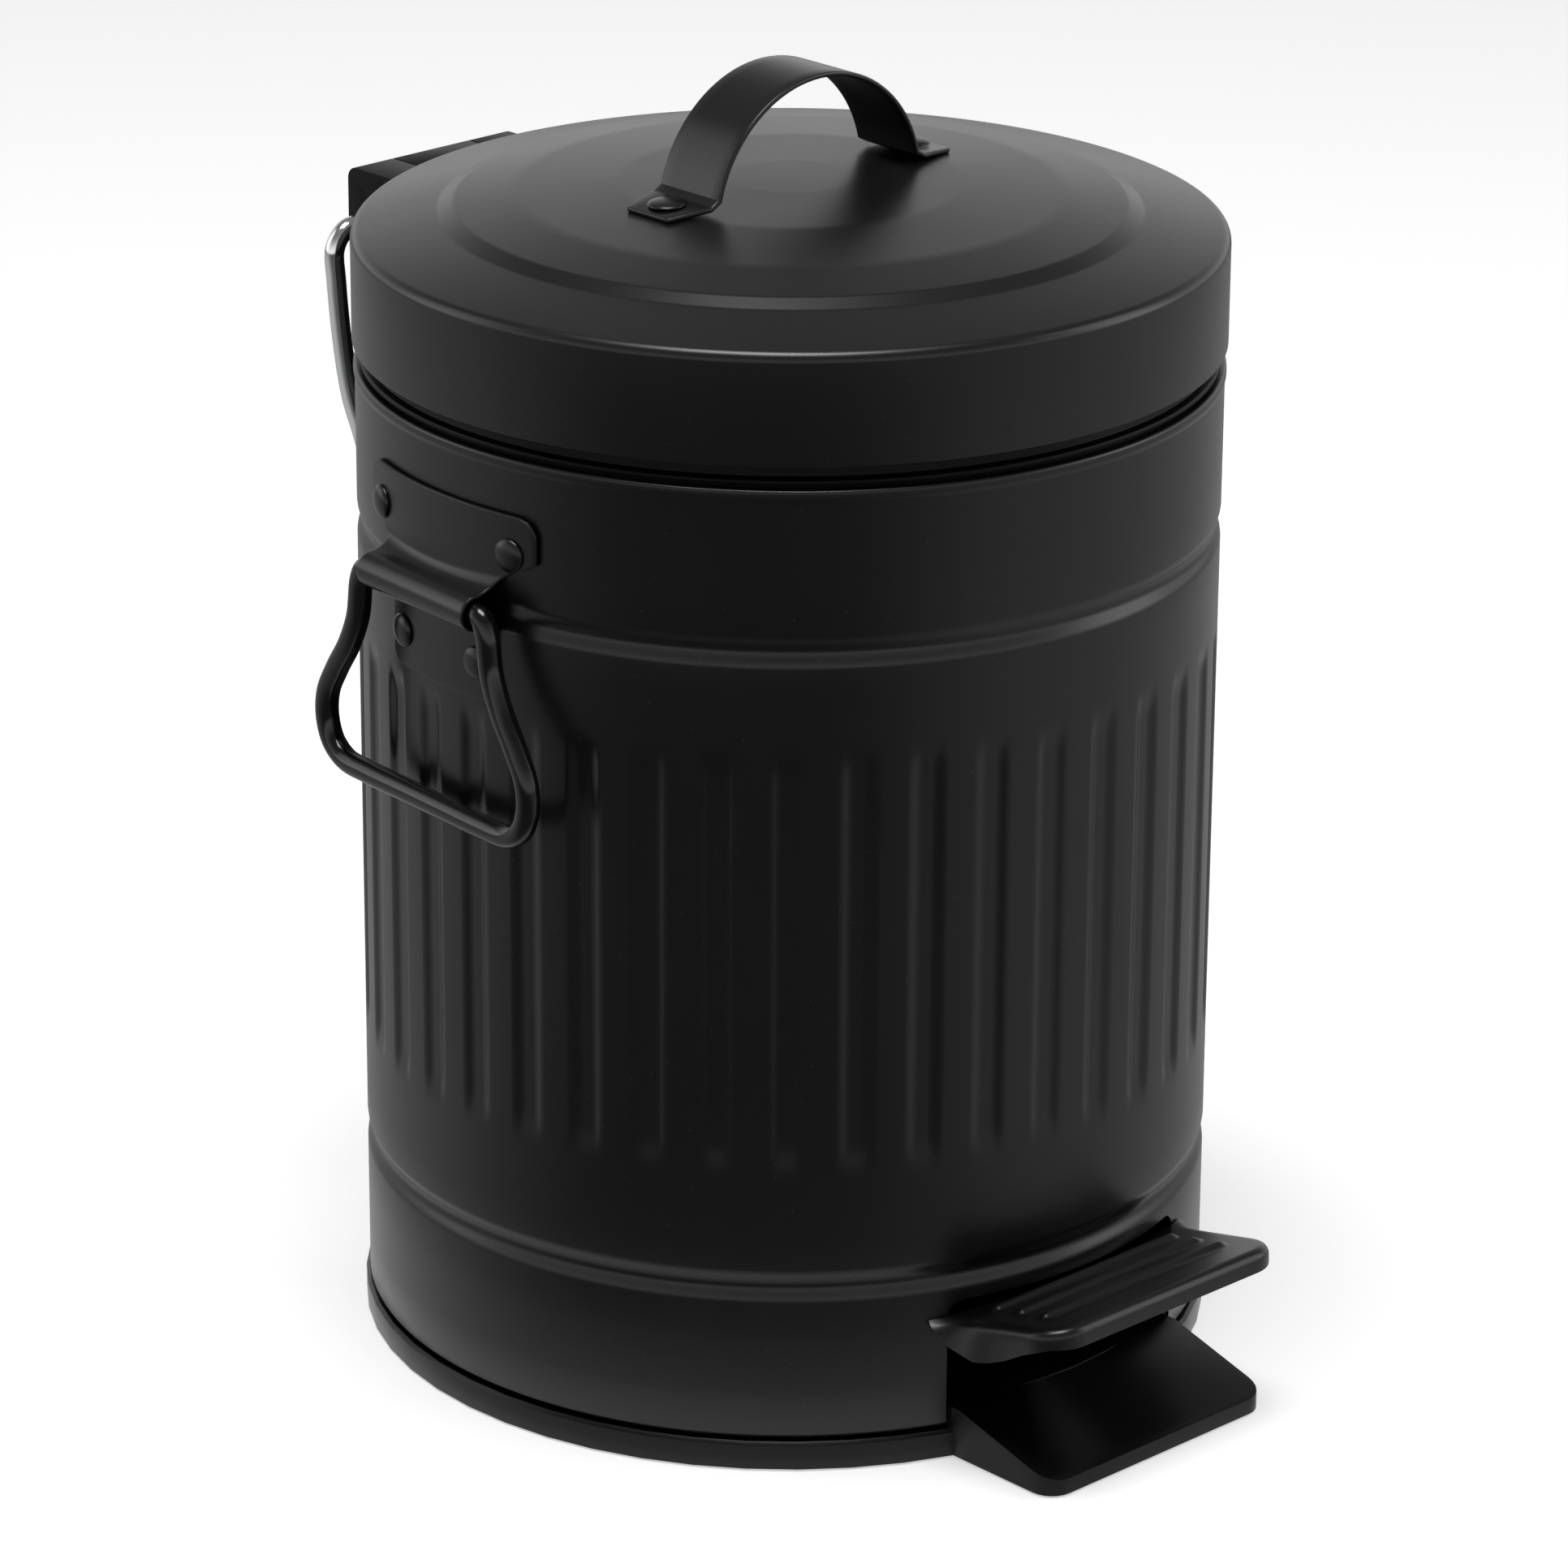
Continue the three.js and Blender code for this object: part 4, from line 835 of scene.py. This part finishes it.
def side_plate(name, turn):
    """The riveted plate, bent out round the handle's wire."""
    columns = 45
    points = []
    past = False
    rows = plate_line()
    for r, z, flat in rows:
        past = past or r > SLEEVE_D
        half = plate_half(z, past)
        for k in range(columns):
            x = half * (-1 + 2 * k / (columns - 1))
            curved = math.sqrt(r * r - x * x)
            points.append(turn @ Vector((x, -(curved + (r - curved) * flat), z)))
    faces = sheet_faces(len(rows), columns)
    plate = mesh_object(name, points, faces)
    face_towards(plate, len(faces) // 8, turn @ Vector((0, -1, 0)))
    thicken(plate, 0.9)
    ease_edges(plate, 0.25, 2, 50)
    return soften(baked(plate), 45)


class BIN_OT_side_handles(bpy.types.Operator):
    """Builds the riveted side plates and their swinging wire handles"""

    bl_idname = "bin.side_handles"
    bl_label = "Side handles"

    def execute(self, context):
        sizes = context.scene.bin_sizes
        d, z = -SLEEVE_D, SLEEVE_Z
        half = [
            (0.4, d, z), (10, d, z), (19.8, d, z), (22.6, d, z - 1), (24.2, d, z - 3.8), (25.8, d, 191.5),
            (29.4, d, 183.6), (34.6, d, 176), (38.4, d, 169.2), (39, d, 163), (36.8, d, 157.4),
            (31.8, d, 154.2), (22, d, 153.6), (8, d, 153.6),
        ]
        for side, label in ((-1, "left"), (1, "right")):
            turn = Matrix.Rotation(math.radians(side * SIDE_DEG), 4, "Z")
            path = [turn @ Vector(p) for p in mirrored(half)]
            handle = wire(f"wire_handle_{label}", path, sizes.side_wire, "handle gloss")
            settle(handle, f"handle_{label}", "gloss_coat", "handle gloss", f"side_handle_{label}")
            plate = side_plate(f"handle_plate_{label}", turn)
            settle(plate, "bin", "black_coat", "powder coat", f"side_plate_{label}")
        return {"FINISHED"}


# ---------------- pedal


TREAD_FRONT, TREAD_BACK = -131.0, -88
TREAD_HALF, TREAD_CORNER = 38.2, 9
TONGUE_HALF, TONGUE_HEM = 36.4, 31.5
WINGS_END = -96.4
FOLD = 2.6
RIBS = (-102.6, -110.2, -118.0)
RIB_HALF, RIB_WIDTH, RIB_HEIGHT = 31.0, 2.2, 1.25
COLUMNS = 97


def tread_height(y):
    """The tread rises to the front."""
    return 44.2 - 0.2156 * (y - TREAD_FRONT)


def hem(y):
    """The skirt's lower edge by a place on the rim: how far it flares out and sits back, and its height."""
    if y > WINGS_END:
        return 0.0, 0.0, TONGUE_HEM
    places = [-126, -120, -115, -110, -106, -101, -98.6, -96.8]
    flare = [0.3, 0.5, 0.8, 1.4, 2.2, 3.8, 4.6, 5.0]
    back = [0, 0, 0, 0, 0, 1.2, 2.0, 2.5]
    height = [38.7, 35.4, 32.4, 30.2, 29.3, 31.4, 33.8, 36.0]
    return [float(np.interp(y, places, values)) for values in (flare, back, height)]


def tread_half(y):
    """Half the flat tread's width at y: round front corners, straight sides and the tongue behind them."""
    corner = TREAD_CORNER - FOLD
    ahead = TREAD_FRONT + FOLD + corner - y
    if ahead > 0:
        return TREAD_HALF - TREAD_CORNER + math.sqrt(max(corner * corner - ahead * ahead, 0))
    return float(np.interp(y, [-96.6, -96.2], [TREAD_HALF, TONGUE_HALF])) - FOLD


def rib_lift(x, y):
    """How far a rib stands up at a place on the tread."""
    beyond = max(abs(x) - RIB_HALF + RIB_WIDTH, 0)
    far = min(math.hypot(y - rib, beyond) for rib in RIBS)
    if far >= RIB_WIDTH:
        return 0.0
    return RIB_HEIGHT * (0.5 + 0.5 * math.cos(math.pi * far / RIB_WIDTH)) ** 0.7


def rim_normals(flat):
    """The way out from each point of the rim, smoothed along it."""
    normals = []
    for i in range(len(flat)):
        along = (flat[min(i + 1, len(flat) - 1)] - flat[max(i - 1, 0)]).normalized()
        normals.append(Vector((along.y, -along.x)))
    for _ in range(3):
        middle = zip(normals, normals[1:], normals[2:])
        normals = [normals[0], *((a + b * 2 + c).normalized() for a, b, c in middle), normals[-1]]
    return normals


def skirt_point(rim, outward, part, t):
    """A point of the folded skirt below a point of the rim: part way round the bend, or down to the hem."""
    knee = rim + outward * FOLD
    flare, back, height = hem(rim.y)
    foot = Vector((knee.x + flare * outward.x, knee.y + back * abs(outward.x), height))
    turn = knee + (foot - knee) * min(FOLD / (foot - knee).length, 0.6)
    if part == "bend":
        return rim * (1 - t) ** 2 + knee * 2 * t * (1 - t) + turn * t * t
    return turn + (foot - turn) * t


class BIN_OT_pedal(bpy.types.Operator):
    """Builds the pressed tread with its ribs, and dresses the lever and the axle"""

    bl_idname = "bin.pedal"
    bl_label = "Pedal"

    def execute(self, context):
        first = TREAD_FRONT + FOLD
        stations = [first + s for s in (0, 0.1, 0.35, 0.75, 1.3, 2.0, 2.9, 3.9, 5.0, 6.2)]
        y = stations[-1]
        while y < TREAD_BACK - 0.4:
            y += 0.42 if any(abs(y - rib) < RIB_WIDTH for rib in RIBS) else 0.9
            stations.append(min(y, TREAD_BACK))
        points = []
        for y in stations:
            half = tread_half(y)
            for k in range(COLUMNS):
                x = -half + 2 * half * k / (COLUMNS - 1)
                points.append((x, y, tread_height(y) + rib_lift(x, y)))
        rows = len(stations)
        faces = sheet_faces(rows, COLUMNS)
        # The rim runs from the left rear corner round the front to the right rear corner.
        rim = [i * COLUMNS for i in range(rows - 1, 0, -1)] + list(range(COLUMNS))
        rim += [i * COLUMNS + COLUMNS - 1 for i in range(1, rows)]
        normals = rim_normals([Vector(points[i][:2]) for i in rim])
        last = rim
        for part, steps in (("bend", (0.16, 0.34, 0.52, 0.7, 0.86, 1.0)), ("down", (0.3, 0.6, 0.85, 1.0))):
            for t in steps:
                ring = list(range(len(points), len(points) + len(rim)))
                points += [
                    tuple(skirt_point(Vector(points[i]), Vector((*normal, 0)), part, t))
                    for i, normal in zip(rim, normals)
                ]
                faces += [(last[i], last[i + 1], ring[i + 1], ring[i]) for i in range(len(rim) - 1)]
                last = ring
        tread = face_out(mesh_object("pedal_tread", points, faces))
        face_towards(tread, 0, (0, 0, 1))
        baked(thicken(tread, 1.2, even=False))
        settle(soften(tread, 45), "pedal", "black_coat", "powder coat", "pedal_plate")
        dress("pedal_bar", "pedal_lever", "pedal", "zinc_plate", "zinc plate")
        dress("pedal_pin", "pedal_axle", "bin", "zinc_plate", "zinc plate", edge=0.3)
        return {"FINISHED"}


# ---------------- rivets and screws


def rivet_head(name, head, height, shank, length):
    """A domed head on a shank with a clenched tail, its face at the origin and its head along Z."""
    line = [(0, height)]
    for i in range(1, 8):
        t = math.radians(90 * i / 7)
        line.append((head * math.sin(t), height * (0.12 + 0.88 * math.cos(t))))
    line += [(head * 0.985, 0), (shank, 0), (shank, -length), (shank * 1.5, -length)]
    line += [(shank * 1.3, -length - 0.9), (0, -length - 1.1)]
    return soften(face_out(revolve(name, line, 32)), 40)


class BIN_OT_rivets(bpy.types.Operator):
    """Sets the rivets of the side plates and the strap, and the screws of the hinge"""

    bl_idname = "bin.rivets"
    bl_label = "Rivets and screws"

    def execute(self, context):
        sizes = context.scene.bin_sizes
        reach = PLATE_R + 0.02
        side_head = rivet_head("side_head", sizes.rivet_head / MM / 2, 1.7, 1.9, 3.2)
        places, nodes = [], []
        for side, label in ((-1, "left"), (1, "right")):
            for deg, z, level in ((13.6, 218.2, "upper"), (7.8, 190.2, "lower")):
                for step, end in ((-1, "a"), (1, "b")):
                    turn = Matrix.Rotation(math.radians(side * SIDE_DEG + step * deg), 4, "Z")
                    lean = turn @ Matrix.Rotation(math.radians(90), 4, "X")
                    places.append((turn @ Vector((0, -reach, z)), lean))
                    nodes.append(f"side_rivet_{label}_{level}_{end}")
        rivets = fasteners("side_rivets", side_head, places, "powder coat")
        settle(rivets, "bin", "black_coat", "powder coat", *nodes)
        strap_head = rivet_head("strap_head", 4.6, 1.1, 1.9, 3.0)
        out, lean = 39, 0.05
        top = lid_height(out) + 0.35 + 1.25
        places = [(Vector((s * out, 0, top)), Matrix.Rotation(s * lean, 4, "Y")) for s in (-1, 1)]
        rivets = fasteners("strap_rivets", strap_head, places, "powder coat")
        settle(rivets, "lid", "black_coat", "powder coat", "lid_rivet_left", "lid_rivet_right")
        for head in (side_head, strap_head):
            bpy.data.objects.remove(head)
        for body, owner, ends in (("lid", "lid", ("left", "right")), ("bin", "housing", ("lower", "upper"))):
            for end in ends:
                node = f"{owner}_screw_{end}"
                dress(f"{owner}_fixing_{end}", node, body, "zinc_plate", "zinc plate", edge=0.2)
        return {"FINISHED"}


# ---------------- insides


class BIN_OT_insides(bpy.types.Operator):
    """Dresses the bucket, its bail and the lift rod"""

    bl_idname = "bin.insides"
    bl_label = "Bucket and rod"

    def execute(self, context):
        sizes = context.scene.bin_sizes
        dress("liner_bucket", "inner_bucket", "bucket", "bucket_plastic", "bucket plastic", edge=0.35)
        r, z = 81.5, 251.0
        half = [(89.4, 0, z), (85.4, 0, z), (82.1, -0.6, z), (r, -4, z)]
        for deg in range(14, 90, 11):
            t = math.radians(deg)
            half.append((r * math.cos(t), -r * math.sin(t), z))
        bail = wire("bucket_loop", mirrored(half), sizes.bucket_wire, "zinc plate")
        settle(bail, "bucket_handle", "zinc_plate", "zinc plate", "bucket_bail")
        dress("push_rod", "lift_rod", "rod", "zinc_plate", "zinc plate", edge=0)
        return {"FINISHED"}


# ---------------- stage


# The camera's axes and its place in metres, solved from the photo.
RIGHT = Vector((0.72719, -0.68642, 0.00556))
UP = Vector((0.24171, 0.26362, 0.93385))
AHEAD = Vector((0.64248, 0.67774, -0.35762))
EYE = Vector((-1.04678, -1.10308, 0.71456))
CAMERA_TURN = math.radians(-43.5)
CARD_MIDDLE = CAMERA_TURN - math.radians(14)
FLOOR_HALF = 9000
FLOOR_GLOW = 0.5
CEILING = 0.2
DIMMED = 0.5


def across(x, y, z):
    """A point given to the camera's right, away from it and up, from the middle of the base."""
    return Vector((0.7254 * x + 0.6884 * y, -0.6884 * x + 0.7254 * y, z))


def softbox(name, place, width, height, power):
    """An area lamp that looks at the middle of the bin."""
    light = bpy.data.lights.new(name, "AREA")
    light.shape = "RECTANGLE"
    light.size, light.size_y = width, height
    light.energy = power
    obj = bpy.data.objects.new(name, light)
    bpy.context.scene.collection.objects.link(obj)
    obj.location = place
    obj.rotation_euler = (Vector((0, 0, 0.15)) - place).to_track_quat("-Z", "Y").to_euler()


def card_group():
    """Where the card of painted dark reflections covers the floor: nothing close to the object, most of it on
    the camera's side.
    """
    t = Tree("Card cover", [
        ("Start", "Float", 0.06), ("Full", "Float", 0.2), ("Middle", "Float", 0.0),
        ("Half width", "Float", 0.38), ("Fade", "Float", 0.95), ("Round about", "Float", 0.6),
        ("Towards camera", "Float", 0.92),
    ], [("Cover", "Float")])
    g = t.inlet.outputs
    xyz = t.node("ShaderNodeSeparateXYZ", {0: t.node("ShaderNodeTexCoord").outputs["Object"]}).outputs
    radius = t.math("SQRT", t.math("ADD", t.math("POWER", xyz[0], 2.0), t.math("POWER", xyz[1], 2.0)))
    away = t.ramp(radius, g["Start"], g["Full"], 0.0, 1.0)
    angle = t.math("SUBTRACT", t.math("ARCTAN2", xyz[0], t.math("MULTIPLY", xyz[1], -1.0)), g["Middle"])
    turned = t.math("ABSOLUTE", t.math("WRAP", angle, math.pi, -math.pi))
    front = t.ramp(turned, g["Half width"], t.math("ADD", g["Half width"], g["Fade"]), 1.0, 0.0)
    span = t.math("SUBTRACT", g["Towards camera"], g["Round about"])
    cover = t.math("ADD", g["Round about"], t.math("MULTIPLY", front, span))
    t.tree.links.new(t.math("MULTIPLY", away, cover, clamp=True), t.outlet.inputs[0])
    return t.tree


def dark_card():
    """A card on the floor that only mirrors see: it paints dark reflections into the black finish, most of
    all on the camera's side, where the floor itself is white.
    """
    card = revolve("dark_card", [(106, 0.6), (600, 0.6), (4000, 0.6)], 96)
    material = bpy.data.materials.new("reflection shade card")
    material.use_nodes = True
    t = Nodes(material.node_tree)
    t.nodes.remove(t.nodes["Principled BSDF"])
    cover = t.node("ShaderNodeGroup", {"Middle": CARD_MIDDLE}, node_tree=tree("Card cover", card_group))
    mixed = t.node("ShaderNodeMixShader", {
        0: cover.outputs[0], 1: t.node("ShaderNodeBsdfTransparent").outputs[0],
        2: t.node("ShaderNodeBsdfDiffuse", {"Color": (0.03, 0.03, 0.03, 1)}).outputs[0],
    })
    t.link(mixed.outputs[0], t.nodes["Material Output"].inputs["Surface"])
    card.data.materials.append(material)
    card.visible_camera = False
    card.visible_diffuse = False
    card.visible_shadow = False


def seen_rays(t):
    """1 where a camera, glossy or transmission ray looks and 0 elsewhere, and the camera rays alone."""
    rays = t.node("ShaderNodeLightPath").outputs
    seen = t.math("MAXIMUM", rays["Is Camera Ray"], rays["Is Glossy Ray"])
    return t.math("MAXIMUM", seen, rays["Is Transmission Ray"]), rays["Is Camera Ray"]


def paper(colour):
    """The floor's material, lifted to white where a camera or a mirror sees it."""
    material = bpy.data.materials.new("studio paper")
    material.use_nodes = True
    t = Nodes(material.node_tree)
    glow = t.math("MULTIPLY", seen_rays(t)[0], FLOOR_GLOW)
    shader = t.nodes["Principled BSDF"]
    for socket, value in (
        ("Base Color", (*colour, 1)), ("Roughness", 0.9), ("Specular IOR Level", 0.0),
        ("Emission Color", (1, 1, 1, 1)), ("Emission Strength", glow),
    ):
        t.feed(shader.inputs[socket], value)
    return material


def studio_world():
    """White round the horizon, a dark ceiling above, and dimmer for the light that falls on the object."""
    world = bpy.data.worlds.new("studio")
    world.use_nodes = True
    t = Nodes(world.node_tree)
    seen, camera_ray = seen_rays(t)
    height = t.node("ShaderNodeSeparateXYZ", {0: t.node("ShaderNodeTexCoord").outputs["Object"]}).outputs[2]
    ceiling = t.ramp(height, 0.0, 0.7, 1.0, CEILING)
    dimmed = t.ramp(seen, 0.0, 1.0, DIMMED, 1.0, kind="LINEAR")
    sky = t.nodes["Background"]
    sky.inputs["Color"].default_value = (1, 1, 1, 1)
    t.link(t.math("MAXIMUM", t.math("MULTIPLY", ceiling, dimmed), camera_ray), sky.inputs["Strength"])
    return world


class BIN_OT_stage(bpy.types.Operator):
    """Sets the pale floor, the soft lights, the world and the camera"""

    bl_idname = "bin.stage"
    bl_label = "Studio"

    def execute(self, context):
        scene = context.scene
        sides = ((-1, -1), (1, -1), (1, 1), (-1, 1))
        points = [(x * FLOOR_HALF, y * FLOOR_HALF, 0) for x, y in sides]
        floor = mesh_object("studio_floor", points, [(0, 1, 2, 3)])
        floor.data.materials.append(paper(scene.bin_colours.paper))
        # Painted dark reflections: a card that only mirrors see, not the camera, the diffuse light or the
        # shadows.
        dark_card()
        scene.world = studio_world()
        softbox("right softbox", across(1.5, 0.1, 0.8), 0.8, 1.3, 5)
        softbox("left softbox", across(-1.5, 0.2, 0.8), 0.8, 1.3, 3)
        softbox("top softbox", across(-0.1, -0.2, 1.9), 0.9, 0.7, 21)

        lens = bpy.data.cameras.new("camera")
        lens.sensor_width = 36
        lens.lens = 155.55
        lens.clip_start = 0.05
        lens.clip_end = 50
        camera = bpy.data.objects.new("camera", lens)
        scene.collection.objects.link(camera)
        columns = (RIGHT, UP, -AHEAD, EYE)
        camera.matrix_world = Matrix([[column[i] for column in columns] for i in range(3)] + [[0, 0, 0, 1]])
        scene.camera = camera
        scene.view_settings.view_transform = "Standard"
        return {"FINISHED"}


# ---------------- panel and registration

STEPS = (
    BIN_OT_body, BIN_OT_collar, BIN_OT_base, BIN_OT_lid, BIN_OT_strap, BIN_OT_hinge, BIN_OT_side_handles,
    BIN_OT_pedal, BIN_OT_rivets, BIN_OT_insides, BIN_OT_stage,
)


class BIN_PT_panel(bpy.types.Panel):
    """Lists the steps and the values of the bin"""

    bl_label = "Pedal Bin"
    bl_idname = "BIN_PT_panel"
    bl_space_type = "VIEW_3D"
    bl_region_type = "UI"
    bl_category = "Pedal Bin"

    def draw(self, context):
        layout = self.layout
        for step in STEPS:
            layout.operator(step.bl_idname)
        for group in (context.scene.bin_sizes, context.scene.bin_colours):
            box = layout.box()
            for name in group.__annotations__:
                box.prop(group, name)


CLASSES = (BinSizes, BinColours, *STEPS, BIN_PT_panel)


def register():
    for item in CLASSES:
        bpy.utils.register_class(item)
    bpy.types.Scene.bin_sizes = bpy.props.PointerProperty(type=BinSizes)
    bpy.types.Scene.bin_colours = bpy.props.PointerProperty(type=BinColours)


def unregister():
    del bpy.types.Scene.bin_colours
    del bpy.types.Scene.bin_sizes
    for item in reversed(CLASSES):
        bpy.utils.unregister_class(item)


def main():
    register()
    bpy.ops.bin.body()
    bpy.ops.bin.collar()
    bpy.ops.bin.base()
    bpy.ops.bin.lid()
    bpy.ops.bin.strap()
    bpy.ops.bin.hinge()
    bpy.ops.bin.side_handles()
    bpy.ops.bin.pedal()
    bpy.ops.bin.rivets()
    bpy.ops.bin.insides()
    bpy.ops.bin.stage()


if __name__ == "__main__":
    main()
